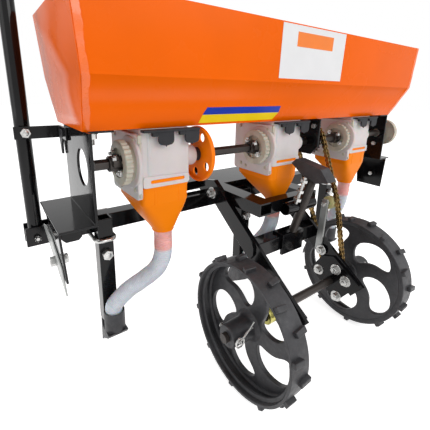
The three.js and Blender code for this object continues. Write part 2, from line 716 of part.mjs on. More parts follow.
function buildMarker() {
  const y = toolbarRearY + toolbarSize / 2;
  const foot = markerPivotZ - markerFootDrop;
  const tube = barZ(markerX, y, foot, markerTubeTopZ, markerTubeRadius);
  const pinFrontY = toolbarRearY + toolbarSize + pinOverhang;
  const pin = barY(markerX, toolbarRearY - pinOverhang, pinFrontY, markerPivotZ, pivotBoltRadius);
  addPart('marker_arm', union(tube, pin), blackPaint);

  const rodTop = markerTubeTopZ + markerRodRise;
  const rod = union(
    barZ(markerX, y, markerTubeTopZ, rodTop, markerRodRadius, 12),
    barX(markerX - markerTipReach, markerX + markerRodRadius, y, rodTop - markerRodRadius, markerRodRadius,
      12));
  addPart('marker_rod', rod, zincSteel);

  const strapFar = toolbarRearY + toolbarSize / 2 - markerTubeRadius - strapRearGap;
  const lowZ = strapZ - strapHeight / 2;
  const highZ = strapZ + strapHeight / 2;
  const strap = box(-strapEndX, -plateOuterX, strapFar - strapThickness, strapFar, lowZ, highZ);
  const tab = box(-plateOuterX - strapThickness, -plateOuterX, plateRearY.left + plateLength - 34, strapFar,
    lowZ, highZ);
  addPart('marker_strap', union(strap, tab), blackPaint);
}

// ---------- wheel arms ----------
const armSlope = Math.tan(THREE.MathUtils.degToRad(armAngleDeg));
const armDropZ = armDepth / Math.cos(THREE.MathUtils.degToRad(armAngleDeg));
const armTop = (y) => armEdgeZ + armSlope * y;
const armBottom = (y) => armTop(y) - armDropZ;

function buildArm(side, name) {
  const span = (a, b) => [Math.min(side * a, side * b), Math.max(side * a, side * b)];
  const [a0, a1] = span(frameHalfX, armOuterX);
  const endCut = 24;
  const bar = plateYZ([
    [armRearY, armTop(armRearY)], [armRearY + 30, armBottom(armRearY + 30)],
    [armFrontY - 28, armBottom(armFrontY - 28)], [armFrontY, toolbarTopZ + 1],
    [armFrontY, armTop(armFrontY) - endCut], [armFrontY - 18, armTop(armFrontY - 18)]], a0, a1);

  const [l0, l1] = span(armOuterX - 1, armOuterX + lugPlateThickness);
  const lugEnd = lugPlateRearY[name];
  const lug = plateYZ([
    [lugEnd + 14, armTop(lugEnd + 14)], [lugEnd, armTop(lugEnd) - 14],
    [lugEnd, armTop(lugEnd) - 34], [lugEnd + 12, armBottom(lugEnd + 12) + 3],
    [lugEnd + 28, armBottom(lugEnd + 28)],
    [armFrontY - 28, armBottom(armFrontY - 28)], [armFrontY, toolbarTopZ],
    [lugPlateFrontY, toolbarTopZ], [lugPlateFrontY, toolbarTopZ + 34],
    [armFrontY - 18, armTop(armFrontY - 18)]], l0, l1);

  const [p0, p1] = span(frameHalfX - bearingPlateThickness, frameHalfX);
  const plate = plateYZ([
    [-68, -371], [-100, -318], [-135, -306], [-215, -355], [-157, -437]], p0, p1)
    .subtract(barX(p0 - 1, p1 + 1, axleY, axleZ, axleRadius + RUN_GAP));
  addPart(`wheel_arm_${name}`, union(bar, lug, plate), blackPaint);

  const [b0, b1] = span(frameHalfX, bearingOuterX[name]);
  const bearing = barX(b0, b1, axleY, axleZ, bearingRadius)
    .subtract(barX(b0 - 1, b1 + 1, axleY, axleZ, axleRadius + RUN_GAP));
  addPart(`axle_bearing_${name}`, bearing, zincSteel);
}

function buildCrossTube() {
  const half = crossTubeSize / 2;
  addPart('arm_cross_tube', box(-frameHalfX, frameHalfX, crossTubeY - half, crossTubeY + half,
    crossTubeZ - half, crossTubeZ + half), blackPaint);
}

// ---------- wheels, axle and chain drive ----------
function spokeHole(startDeg, turn) {
  const point = ([radius, degrees]) => {
    const angle = THREE.MathUtils.degToRad(startDeg + turn * degrees);
    return new THREE.Vector2(axleY + Math.cos(angle) * radius, axleZ + Math.sin(angle) * radius);
  };
  const out = spokeHoleEdges.map(([radius, first]) => point([radius, first]));
  const back = spokeHoleEdges.map(([radius, , last]) => point([radius, last])).reverse();
  return new THREE.Path([...out, ...back]);
}

function buildWheel(side, name) {
  const span = (a, b) => [Math.min(side * a, side * b), Math.max(side * a, side * b)];
  const profile = [
    [wheelRimRadius - rimLip, wheelInnerX], [wheelRimRadius, wheelInnerX], [wheelRimRadius, wheelOuterX],
    [wheelRimRadius - rimLip, wheelOuterX], [wheelRimRadius - rimLip, wheelOuterX - 5],
    [wheelRimRadius - rimWall, wheelOuterX - 7], [wheelRimRadius - rimWall, wheelInnerX + 14],
    [wheelRimRadius - rimLip, wheelInnerX + 12], [wheelRimRadius - rimLip, wheelInnerX]];
  const rim = new THREE.LatheGeometry(profile.map(([r, x]) => new THREE.Vector2(r, x)), wheelSides);
  rim.rotateZ(-Math.PI / 2);
  if (side < 0) rim.rotateY(Math.PI);
  rim.translate(0, axleY, axleZ);
  const disc = new THREE.Shape();
  disc.absarc(axleY, axleZ, wheelRimRadius - rimLip + 3, 0, Math.PI * 2, false);
  const holes = [];
  for (let i = 0; i < spokeCount; i += 1) {
    holes.push(spokeHole(spokeHoleDeg[name] + i * 360 / spokeCount, side));
  }
  const [w0, w1] = span(webInnerX, webInnerX + webThickness);
  const [h0, h1] = span(webInnerX, hubOuterX);
  let wheel = union(toSolid(rim), plateYZ(disc, w0, w1, holes), barX(h0, h1, axleY, axleZ, hubRadius));
  const lugLength = (wheelOuterX - wheelInnerX) / 2 + 2;
  const pairDeg = 360 / lugPairs;
  for (let i = 0; i < 2 * lugPairs; i += 1) {
    const atOuterEdge = i % 2 === 0;
    const lug = new THREE.BoxGeometry(lugLength, lugWidth, lugHeight + 4);
    lug.rotateZ(side * (atOuterEdge ? lugSlant : -lugSlant));
    const inset = lugEdgeGap + lugLength / 2;
    const middleX = atOuterEdge ? wheelOuterX - inset : wheelInnerX + inset;
    lug.translate(side * middleX, 0, wheelRimRadius + (lugHeight - 4) / 2);
    lug.rotateX(THREE.MathUtils.degToRad(lugOuterDeg[name] + i * pairDeg / 2 - 90));
    lug.translate(0, axleY, axleZ);
    wheel = wheel.add(toSolid(lug));
  }
  const bore = barX(h0 - 1, h1 + 1, axleY, axleZ, axleRadius + FIT_GAP);
  addPart(`wheel_${name}`, wheel.subtract(bore), greyCasting);
}

// Points of the loop that wraps a set of circles in the (y, z) plane.
function wrapCircles(circles, offset, count) {
  const points = [];
  for (let i = 0; i < count; i += 1) {
    const angle = i * Math.PI * 2 / count;
    const normal = [Math.cos(angle), Math.sin(angle)];
    const reach = (c) => c.y * normal[0] + c.z * normal[1] + c.r;
    const outermost = circles.reduce((best, c) => (reach(c) > reach(best) ? c : best));
    const radius = outermost.r + offset;
    points.push([outermost.y + radius * normal[0], outermost.z + radius * normal[1]]);
  }
  return points;
}

function buildDrive() {
  addPart('axle', barX(-hubOuterX - 10, hubOuterX + 10, axleY, axleZ, axleRadius), darkSteel);
  const chainInner = chainHalfHeight + RUN_GAP;
  const circles = [
    { y: 0, z: 0, r: upperSprocketPitchRadius },
    { y: rollerY, z: rollerZ, r: rollerRadius + chainInner },
    { y: axleY, z: axleZ, r: lowerSprocketPitchRadius }];
  const outer = shapeOf(wrapCircles(circles, chainHalfHeight, 64));
  outer.holes.push(new THREE.Path(
    wrapCircles(circles, -chainHalfHeight, 64).reverse().map(([u, v]) => new THREE.Vector2(u, v))));
  addPart('drive_chain', plateYZ(outer, chainX - chainHalfWidth, chainX + chainHalfWidth), chainSteel);

  const toothHalf = sprocketThickness / 2;
  const lower = union(
    barX(chainX - toothHalf, chainX + toothHalf, axleY, axleZ, lowerSprocketPitchRadius - chainInner, 32),
    barX(chainX - toothHalf, chainX + 26, axleY, axleZ, axleRadius + 6))
    .subtract(barX(chainX - 9, chainX + 40, axleY, axleZ, axleRadius + FIT_GAP));
  addPart('axle_sprocket', lower, darkSteel);
  const upper = union(
    barX(chainX - toothHalf, chainX + toothHalf, 0, 0, upperSprocketPitchRadius - chainInner, 40),
    barX(chainX - toothHalf, chainX + 22, 0, 0, hexRadius + 8))
    .subtract(barX(chainX - 9, chainX + 40, 0, 0, hexRadius + FIT_GAP));
  addPart('shaft_sprocket', upper, darkSteel);

  const barInnerX = frameHalfX - tensionerThickness;
  const halfBar = tensionerWidth / 2;
  const bar = union(
    plateYZ([
      [tensionerPivotY - halfBar, tensionerPivotZ - 10], [tensionerPivotY + halfBar, tensionerPivotZ - 10],
      [rollerY + halfBar, rollerZ + 8], [rollerY + 6, rollerZ + halfBar + 4],
      [rollerY - 6, rollerZ + halfBar + 4], [rollerY - halfBar, rollerZ + 8]], barInnerX, frameHalfX),
    barX(barInnerX, chainX + rollerWidth / 2, rollerY, rollerZ, 5, 12));
  addPart('tensioner_bar', bar, zincSteel);
  const roller = barX(chainX - rollerWidth / 2, chainX + rollerWidth / 2, rollerY, rollerZ, rollerRadius)
    .subtract(barX(chainX - 99, chainX + 99, rollerY, rollerZ, 5 + FIT_GAP, 12));
  addPart('tensioner_roller', roller, ivoryPlastic);
}

// ---------- metering shaft ----------
function buildShaft() {
  addPart('metering_shaft', barX(shaftLeftX, shaftRightX, 0, 0, hexRadius, 6), darkSteel);
  const half = indexDiscThickness / 2;
  let disc = union(
    barX(indexDiscX - half, indexDiscX + half, 0, 0, indexDiscRadius, 40),
    barX(indexDiscX - half - 8, indexDiscX + half, 0, 0, hexRadius + 7));
  const holeCircle = 41;
  const holeRadius = 9;
  indexHoleDeg.forEach((degrees) => {
    const angle = THREE.MathUtils.degToRad(degrees);
    disc = disc.subtract(barX(indexDiscX - 20, indexDiscX + 20,
      Math.cos(angle) * holeCircle, Math.sin(angle) * holeCircle, holeRadius, 16));
  });
  addPart('index_disc', disc.subtract(barX(indexDiscX - 20, indexDiscX + 20, 0, 0, hexRadius + FIT_GAP)),
    orangePlastic);
  const dial = barX(endDialX - 8, endDialX + 8, 0, 0, endDialRadius, 36)
    .subtract(barX(endDialX - 20, endDialX + 20, 0, 0, hexRadius + FIT_GAP));
  addPart('end_dial', dial, ivoryPlastic);
}

// ---------- hanger that carries the shaft beside its sprocket ----------
function buildHanger() {
  const half = hangerWidth / 2;
  const plate = plateYZ([
    [-half, hopperBottom.z], [-half, -10], [-hangerFootHalf, hangerBottomZ], [hangerFootHalf, hangerBottomZ],
    [half, -10], [half, hopperBottom.z]], hangerX, hangerX + hangerThickness);
  const flange = box(hangerX - hangerFlange, hangerX + 1, -half + 22, half, hopperBottom.z - hangerThickness,
    hopperBottom.z);
  const bore = barX(hangerX - 9, hangerX + hangerThickness + 9, 0, 0, shaftBore);
  addPart('shaft_hanger', union(plate, flange).subtract(bore), blackPaint);
}

// ---------- wheel height adjuster ----------
function buildAdjuster() {
  const rodBore = barBetween(adjusterX, adjusterRodTop, adjusterRodFoot, adjusterRodRadius + FIT_GAP, 16);
  const deckZ = crossTubeZ + crossTubeSize / 2;
  const rearY = crossTubeY - crossTubeSize / 2;
  const below = crossTubeZ - crossTubeSize / 2 - 12;
  const clamp = union(
    box(adjusterX - 44, adjusterX + 40, rearY - 8, rearY, below, deckZ + 6),
    box(adjusterX - 44, adjusterX + 40, rearY - 8, crossTubeY + 10, deckZ, deckZ + 6));
  const rod = barBetween(adjusterX, adjusterRodTop, adjusterRodFoot, adjusterRodRadius, 16);
  const clampTop = box(adjusterX - 99, adjusterX + 99, rearY - 99, crossTubeY + 99, deckZ - 99,
    deckZ + 6 + FIT_GAP);
  const headHalf = castingLength / 2;
  const middleY = adjusterRodTop.y + 4;
  const middleZ = adjusterRodTop.z + 8;
  const casting = plateYZ([
    [middleY - headHalf, middleZ - 16], [middleY - headHalf + 32, middleZ - castingHeight / 2 - 8],
    [middleY + headHalf - 36, middleZ - castingHeight / 2 + 4], [middleY + headHalf, middleZ + 12],
    [middleY + headHalf - 14, middleZ + castingHeight / 2 + 8], [middleY - headHalf + 24, middleZ + 12]],
  adjusterX - castingWidth / 2, adjusterX + castingWidth / 2);
  addPart('adjuster_casting', casting.subtract(rodBore), greyCasting);
  addPart('adjuster_rod', rod.subtract(clampTop), darkSteel);
  addPart('adjuster_clamp', clamp, blackPaint);
}

buildHopper();
unitX.forEach((x, index) => buildUnit(x, index + 1));
unitX.forEach((x, index) => buildHose(x + funnelOutletShift, openerCentreX[index], index + 1));
openerCentreX.forEach((x, index) => buildOpener(x, index + 1));
buildToolbar();
buildCentreFrame();
buildDrawbar();
buildSidePlate(-1, 'left');
buildSidePlate(1, 'right');
buildMarkerBracket(-1, 'left');
buildMarkerBracket(1, 'right');
buildMarker();
buildArm(-1, 'left');
buildArm(1, 'right');
buildCrossTube();
buildWheel(-1, 'left');
buildWheel(1, 'right');
buildDrive();
buildShaft();
buildHanger();
buildAdjuster();

export default seedDrill;
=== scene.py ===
"""Looks of a three-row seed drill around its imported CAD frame.

Metres in the end, +Z up, +Y is the direction of travel. Shapes are drawn in millimetres from the metering
shaft's axis, as the CAD is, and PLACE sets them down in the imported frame.
"""
import math
import random

import bmesh
import bpy
from mathutils import Matrix, Vector


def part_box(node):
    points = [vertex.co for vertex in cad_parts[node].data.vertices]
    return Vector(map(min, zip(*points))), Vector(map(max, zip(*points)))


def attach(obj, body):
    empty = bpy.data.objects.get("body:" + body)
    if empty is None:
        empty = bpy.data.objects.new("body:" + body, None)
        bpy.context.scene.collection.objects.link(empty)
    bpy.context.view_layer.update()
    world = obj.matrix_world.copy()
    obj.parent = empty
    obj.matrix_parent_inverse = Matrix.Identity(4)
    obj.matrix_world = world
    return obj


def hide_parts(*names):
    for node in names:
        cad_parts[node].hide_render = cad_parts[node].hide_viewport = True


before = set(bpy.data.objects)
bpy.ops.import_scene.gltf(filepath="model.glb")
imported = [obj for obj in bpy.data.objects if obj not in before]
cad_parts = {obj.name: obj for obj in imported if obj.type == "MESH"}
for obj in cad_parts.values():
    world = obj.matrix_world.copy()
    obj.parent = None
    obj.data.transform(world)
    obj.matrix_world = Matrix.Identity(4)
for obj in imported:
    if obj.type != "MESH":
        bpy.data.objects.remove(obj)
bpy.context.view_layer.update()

MM = 0.001
FINISH = "_finish"


def middle(node):
    low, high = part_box(node)
    return (low + high) / 2


SHAFT = Vector((0, middle("metering_shaft").y, middle("metering_shaft").z))
PLACE = Matrix.Translation(SHAFT) @ Matrix.Scale(MM, 4)


def drawn(node):
    """A CAD node's box in millimetres from the shaft's axis."""
    low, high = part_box(node)
    return (low - SHAFT) / MM, (high - SHAFT) / MM


def drawn_middle(node):
    low, high = drawn(node)
    return (low + high) / 2


AXLE = drawn_middle("axle")
AXLE.x = 0


# ---------- materials ----------
def linear(red, green, blue):
    """An sRGB colour from 0 to 255, as the linear colour that Blender takes."""
    def one(value):
        value = value / 255
        return value / 12.92 if value <= 0.04045 else ((value + 0.055) / 1.055) ** 2.4
    return (one(red), one(green), one(blue), 1)


class Nodes:
    def __init__(self, name):
        self.material = bpy.data.materials.new(name + FINISH)
        self.material.use_nodes = True
        self.tree = self.material.node_tree
        self.tree.nodes.clear()
        self.output = self.add("ShaderNodeOutputMaterial")
        self.coordinates = self.add("ShaderNodeTexCoord").outputs["Object"]

    def add(self, kind, **values):
        node = self.tree.nodes.new(kind)
        for key, value in values.items():
            if key.startswith("in_"):
                node.inputs[key[3:].replace("_", " ")].default_value = value
            else:
                setattr(node, key, value)
        return node

    def join(self, source, target):
        self.tree.links.new(source, target)

    def noise(self, scale, detail=3.0, stretch=None, roughness=0.5):
        node = self.add("ShaderNodeTexNoise", in_Scale=scale, in_Detail=detail, in_Roughness=roughness)
        vector = self.coordinates
        if stretch:
            mapping = self.add("ShaderNodeMapping", in_Scale=stretch)
            self.join(vector, mapping.inputs["Vector"])
            vector = mapping.outputs["Vector"]
        self.join(vector, node.inputs["Vector"])
        return node.outputs["Fac"]

    def ramp(self, source, stops):
        node = self.add("ShaderNodeValToRGB")
        elements = node.color_ramp.elements
        while len(elements) < len(stops):
            elements.new(0.5)
        for element, (position, colour) in zip(elements, stops):
            element.position = position
            element.color = colour
        self.join(source, node.inputs["Fac"])
        return node.outputs["Color"]

    def range(self, source, low, high, start=0.3, end=0.7):
        node = self.add("ShaderNodeMapRange", in_From_Min=start, in_From_Max=end, in_To_Min=low,
                        in_To_Max=high)
        self.join(source, node.inputs["Value"])
        return node.outputs["Result"]

    def mix(self, factor, first, second):
        node = self.add("ShaderNodeMix", data_type="RGBA")
        self.join(factor, node.inputs[0])
        for socket, value in ((node.inputs[6], first), (node.inputs[7], second)):
            if isinstance(value, tuple):
                socket.default_value = value
            else:
                self.join(value, socket)
        return node.outputs[2]


def shade(colour, gain):
    return tuple(min(1, channel * gain) for channel in colour[:3]) + (1,)


def surface(name, colour, spread=0.12, patch=14.0, roughness=(0.3, 0.45), metallic=0.0, coat=0.0,
            specular=0.5, grain=900.0, depth=0.02, swell=0.0, swell_scale=7.0, stretch=None, dust=None,
            subsurface=0.0):
    """A finish with patches of colour, uneven gloss, a fine grain and settled dust."""
    nodes = Nodes(name)
    patches = nodes.noise(patch, 4.0, stretch)
    tone = nodes.ramp(patches, [(0.3, shade(colour, 1 - spread)), (0.7, shade(colour, 1 + spread))])
    if dust:
        specks = nodes.range(nodes.noise(160.0, 6.0, None, 0.7), 0.0, 0.3, 0.5, 0.75)
        tone = nodes.mix(specks, tone, dust)
    shader = nodes.add("ShaderNodeBsdfPrincipled", in_Metallic=metallic)
    shader.inputs["Coat Weight"].default_value = coat
    shader.inputs["Coat Roughness"].default_value = 0.08
    shader.inputs["Specular IOR Level"].default_value = specular
    if subsurface:
        shader.inputs["Subsurface Weight"].default_value = subsurface
        shader.inputs["Subsurface Scale"].default_value = 0.004
    nodes.join(tone, shader.inputs["Base Color"])
    nodes.join(nodes.range(nodes.noise(patch * 2.3, 5.0, stretch), *roughness), shader.inputs["Roughness"])
    fine = nodes.add("ShaderNodeBump", in_Strength=0.25, in_Distance=depth * MM)
    nodes.join(nodes.noise(grain, 2.0, stretch), fine.inputs["Height"])
    if swell:
        broad = nodes.add("ShaderNodeBump", in_Strength=1.0, in_Distance=swell * MM)
        nodes.join(nodes.noise(swell_scale, 1.0), broad.inputs["Height"])
        nodes.join(broad.outputs["Normal"], fine.inputs["Normal"])
    nodes.join(fine.outputs["Normal"], shader.inputs["Normal"])
    nodes.join(shader.outputs["BSDF"], nodes.output.inputs["Surface"])
    return nodes.material


def banded(name, upper, lower, height, soft, roughness):
    """A translucent plastic that turns from one colour to another at a height."""
    nodes = Nodes(name)
    split = nodes.add("ShaderNodeSeparateXYZ")
    nodes.join(nodes.coordinates, split.inputs["Vector"])
    where = nodes.range(split.outputs["Z"], 0.0, 1.0, height - soft, height + soft)
    cloud = nodes.noise(45.0, 3.0)
    low = nodes.ramp(cloud, [(0.3, shade(lower, 0.93)), (0.7, shade(lower, 1.04))])
    high = nodes.ramp(cloud, [(0.3, shade(upper, 0.93)), (0.7, shade(upper, 1.05))])
    shader = nodes.add("ShaderNodeBsdfPrincipled")
    shader.inputs["Subsurface Weight"].default_value = 0.35
    shader.inputs["Subsurface Scale"].default_value = 0.006
    nodes.join(nodes.mix(where, low, high), shader.inputs["Base Color"])
    nodes.join(nodes.range(cloud, *roughness), shader.inputs["Roughness"])
    bump = nodes.add("ShaderNodeBump", in_Strength=0.2, in_Distance=0.05 * MM)
    nodes.join(nodes.noise(700.0, 2.0), bump.inputs["Height"])
    nodes.join(bump.outputs["Normal"], shader.inputs["Normal"])
    nodes.join(shader.outputs["BSDF"], nodes.output.inputs["Surface"])
    return nodes.material


ORANGE_PAINT = surface("orange_paint", linear(240, 100, 0), 0.06, 4.0, (0.2, 0.32), grain=700.0, depth=0.02,
                       swell=0.3, swell_scale=5.0, specular=0.08)
SEAM_PAINT = surface("seam_paint", linear(248, 108, 20), 0.1, 30.0, (0.2, 0.34), coat=0.3, grain=500.0,
                     depth=0.06)
ORANGE_PLASTIC = surface("orange_plastic", linear(255, 134, 0), 0.05, 8.0, (0.36, 0.48),
                         grain=1400.0, specular=0.12)
DISC_PLASTIC = surface("disc_plastic", linear(255, 128, 0), 0.07, 12.0, (0.34, 0.46), specular=0.15)
MILK_PLASTIC = surface("milk_plastic", linear(214, 206, 205), 0.06, 16.0, (0.36, 0.5), subsurface=0.35,
                       grain=1200.0, specular=0.35)
IVORY_PLASTIC = surface("ivory_plastic", linear(190, 184, 168), 0.16, 40.0, (0.4, 0.55), subsurface=0.2,
                        grain=800.0, depth=0.06)
ROLLER_PLASTIC = surface("roller_plastic", linear(206, 200, 142), 0.1, 30.0, (0.35, 0.5), subsurface=0.2)
DARK_PLASTIC = surface("dark_plastic", linear(46, 46, 49), 0.12, 30.0, (0.5, 0.65), specular=0.2,
                       grain=1800.0, depth=0.04)
BLACK_PAINT = surface("black_paint", linear(13, 13, 15), 0.25, 18.0, (0.06, 0.16), specular=0.24, grain=800.0,
                      depth=0.02, swell=0.2, swell_scale=20.0, dust=linear(26, 25, 25))
GREY_CAST = surface("grey_cast", linear(47, 47, 50), 0.3, 30.0, (0.4, 0.6), metallic=0.2, grain=420.0,
                    depth=0.6, swell=0.25, swell_scale=90.0, dust=linear(84, 82, 82))
DARK_STEEL = surface("dark_steel", linear(58, 53, 50), 0.25, 30.0, (0.3, 0.5), metallic=0.55, grain=600.0,
                     stretch=(0.2, 1, 1))
ZINC = surface("zinc_steel", linear(188, 188, 186), 0.2, 90.0, (0.2, 0.36), metallic=0.9, grain=900.0,
               depth=0.05)
ZINC_PLATE = surface("zinc_plate", linear(160, 162, 160), 0.14, 25.0, (0.3, 0.46), metallic=0.6, grain=900.0,
                     depth=0.04)
YELLOW_ZINC = surface("yellow_zinc", linear(206, 198, 112), 0.2, 50.0, (0.2, 0.36), metallic=0.75)
CHAIN_STEEL = surface("chain_steel", linear(140, 114, 70), 0.4, 160.0, (0.14, 0.3), metallic=0.95)
LABEL_WHITE = surface("label_white", linear(226, 226, 227), 0.02, 20.0, (0.4, 0.5))
LABEL_ORANGE = surface("label_orange", linear(238, 122, 20), 0.03, 20.0, (0.4, 0.5))
STICKER_BLUE = surface("sticker_blue", linear(0, 48, 168), 0.06, 20.0, (0.3, 0.4), specular=0.2)
STICKER_YELLOW = surface("sticker_yellow", linear(240, 206, 0), 0.04, 20.0, (0.3, 0.4), specular=0.2)
HOSE_TINT_END = -205
HOSE_PLASTIC = banded("hose_plastic", linear(240, 178, 172), linear(214, 220, 228),
                      SHAFT.z + HOSE_TINT_END * MM, 0.004, (0.35, 0.5))


# ---------- shapes ----------
def towards(axis):
    """A turn that takes +Z to an axis."""
    return Vector((0, 0, 1)).rotation_difference(Vector(axis)).to_matrix().to_4x4()


X_AXIS = towards((1, 0, 0))
Y_AXIS = towards((0, 1, 0))
# Takes an outline's (u, v) to (y, z) and its thickness to +X.
SIDE_ON = Matrix(((0, 0, 1, 0), (1, 0, 0, 0), (0, 1, 0, 0), (0, 0, 0, 1)))
# Takes an outline's (u, v) to (x, z) and its thickness to -Y.
REAR_ON = Matrix(((1, 0, 0, 0), (0, 0, -1, 0), (0, 1, 0, 0), (0, 0, 0, 1)))


def at(x, y, z):
    return Matrix.Translation((x, y, z))


def facing(point, axis):
    """Stands a shape drawn along +Z at a point, along an axis."""
    return Matrix.Translation(point) @ towards(axis)


def polar(radius, turn):
    return radius * math.cos(turn), radius * math.sin(turn)


def skin(bm, rings):
    """Joins rings of corners one to the next, and closes the first and the last."""
    for lower, upper in zip(rings, rings[1:]):
        for i in range(len(lower)):
            j = (i + 1) % len(lower)
            bm.faces.new((lower[i], lower[j], upper[j], upper[i]))
    bm.faces.new(rings[0])
    bm.faces.new(rings[-1])


def bevel(bm, width, segments=2, angle=32):
    if not width:
        return
    limit = math.radians(angle)
    edges = [e for e in bm.edges if len(e.link_faces) == 2 and e.calc_face_angle(0) > limit]
    bmesh.ops.bevel(bm, geom=edges, offset=width, segments=segments, profile=0.5, affect="EDGES",
                    clamp_overlap=True)


class Kit:
    """Collects closed shapes, in millimetres, into one mesh."""

    def __init__(self):
        self.shape = bmesh.new()

    def take(self, bm, matrix=Matrix.Identity(4)):
        bm.transform(matrix)
        bmesh.ops.recalc_face_normals(bm, faces=bm.faces)
        extra = bpy.data.meshes.new("extra")
        bm.to_mesh(extra)
        self.shape.from_mesh(extra)
        bpy.data.meshes.remove(extra)
        bm.free()
        return self

    def finished(self, name):
        mesh = bpy.data.meshes.new(name)
        self.shape.to_mesh(mesh)
        self.shape.free()
        return mesh

    def block(self, low, high, round_by=0.8, segments=2, matrix=Matrix.Identity(4)):
        bm = bmesh.new()
        low, high = Vector(low), Vector(high)
        bmesh.ops.create_cube(bm, size=1, matrix=Matrix.Translation((low + high) / 2)
                              @ Matrix.Diagonal((*(high - low), 1)))
        bevel(bm, round_by, segments)
        return self.take(bm, matrix)

    def turned(self, profile, matrix, steps=48):
        """A profile of (radius, height) turned about +Z, closed on itself or on the axis."""
        bm = bmesh.new()
        rings = []
        for radius, height in profile:
            if radius < 1e-6:
                rings.append([bm.verts.new((0, 0, height))] * steps)
            else:
                rings.append([bm.verts.new((*polar(radius, 2 * math.pi * i / steps), height))
                              for i in range(steps)])
        pairs = list(zip(rings, rings[1:]))
        if profile[0][0] > 1e-6 and profile[-1][0] > 1e-6:
            pairs.append((rings[-1], rings[0]))
        for lower, upper in pairs:
            for i in range(steps):
                j = (i + 1) % steps
                corners = []
                for vertex in (lower[i], lower[j], upper[j], upper[i]):
                    if vertex not in corners:
                        corners.append(vertex)
                if len(corners) > 2:
                    bm.faces.new(corners)
        return self.take(bm, matrix)

    def round_bar(self, radius, length, matrix, steps=24, chamfer=0.6):
        profile = [(0, 0), (radius - chamfer, 0), (radius, chamfer), (radius, length - chamfer),
                   (radius - chamfer, length), (0, length)]
        return self.turned(profile, matrix, steps)

    def cut(self, outline, thickness, matrix, holes=(), round_by=0.0, segments=2):
        """An outline with holes, made into a plate of some thickness along +Z."""
        bm = bmesh.new()
        edges = []
        for loop in (outline, *holes):
            ring = [bm.verts.new((u, v, 0)) for u, v in loop]
            edges += [bm.edges.new((ring[i], ring[(i + 1) % len(ring)])) for i in range(len(ring))]
        bmesh.ops.triangle_fill(bm, edges=edges, use_beauty=True, use_dissolve=False, normal=(0, 0, 1))
        faces = bmesh.ops.extrude_face_region(bm, geom=list(bm.faces))
        moved = [g for g in faces["geom"] if isinstance(g, bmesh.types.BMVert)]
        bmesh.ops.translate(bm, verts=moved, vec=(0, 0, thickness))
        bmesh.ops.recalc_face_normals(bm, faces=bm.faces)
        bmesh.ops.dissolve_limit(bm, angle_limit=0.002, verts=bm.verts, edges=bm.edges)
        bevel(bm, round_by, segments, 50)
        return self.take(bm, matrix)

    def rod(self, points, radius, sides=12, matrix=Matrix.Identity(4), radii=None):
        """A round bar swept through points, with flat ends."""
        points = [Vector(p) for p in points]
        bm = bmesh.new()
        rings = []
        normal = None
        for index, point in enumerate(points):
            before = points[max(index - 1, 0)]
            after = points[min(index + 1, len(points) - 1)]
            along = (after - before).normalized()
            if normal is None:
                normal = along.orthogonal().normalized()
            normal = (normal - along * normal.dot(along)).normalized()
            side = along.cross(normal)
            r = radii[index] if radii else radius
            rings.append([bm.verts.new(point + normal * (r * math.cos(2 * math.pi * i / sides))
                                       + side * (r * math.sin(2 * math.pi * i / sides)))
                          for i in range(sides)])
        skin(bm, rings)
        return self.take(bm, matrix)

    def loft(self, levels, around=96):
        """A closed solid through rounded rectangles: centre, half sizes, height and squareness from 2 up."""
        bm = bmesh.new()
        rings = []
        for x, y, z, half_x, half_y, squareness in levels:
            ring = []
            for i in range(around):
                turn = 2 * math.pi * (i + 0.5) / around
                across, along = (math.copysign(abs(v) ** (2 / squareness), v)
                                 for v in (math.cos(turn), math.sin(turn)))
                ring.append(bm.verts.new((x + half_x * across, y + half_y * along, z)))
            rings.append(ring)
        skin(bm, rings)
        return self.take(bm)

    def hexagon(self, flats, height, matrix):
        """A nut or a bolt's head, with its corners turned off."""
        radius = flats / math.sqrt(3)
        bm = bmesh.new()
        bmesh.ops.create_cone(bm, cap_ends=True, segments=6, radius1=radius, radius2=radius, depth=height,
                              matrix=Matrix.Translation((0, 0, height / 2)))
        bevel(bm, flats * 0.045, 2)
        return self.take(bm, matrix)

    def bolt(self, point, axis, flats, washer=False):
        """A hexagonal head that stands off a face along an axis, on its washer."""
        place_at = facing(point, axis)
        lift = 0.0
        if washer:
            self.turned([(flats * 0.3, 0), (flats * 0.86, 0), (flats * 0.9, 0.5), (flats * 0.86, 1.6),
                         (flats * 0.3, 1.6)], place_at, 32)
            lift = 1.5
        turn = Matrix.Rotation(0.3 + point[0] * 0.7 + point[2] * 0.3, 4, "Z")
        self.hexagon(flats, flats * 0.6, place_at @ at(0, 0, lift) @ turn)
        dome = lift + flats * 0.6
        return self.turned([(0, dome - 0.5), (flats * 0.36, dome - 0.5), (flats * 0.3, dome + 0.5),
                            (0, dome + 0.7)], place_at, 20)

    def thread(self, radius, start, length, matrix):
        profile = [(0, start)]
        pitch = 1.4
        count = max(2, int(length / pitch))
        for i in range(count):
            base = start + i * pitch
            profile += [(radius - 0.5, base), (radius, base + pitch / 2)]
        profile += [(radius - 0.6, start + count * pitch), (0, start + count * pitch)]
        return self.turned(profile, matrix, 20)

    def copy_of(self, node, round_by=0.8, segments=2, angle=38):
        """A CAD node's own shape with its flat faces joined up and its edges rounded."""
        bm = bmesh.new()
        bm.from_mesh(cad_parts[node].data)
        bmesh.ops.remove_doubles(bm, verts=bm.verts, dist=1e-6)
        bm.transform(PLACE.inverted())
        bmesh.ops.dissolve_limit(bm, angle_limit=0.01, verts=bm.verts, edges=bm.edges)
        bevel(bm, round_by, segments, angle)
        return self.take(bm)

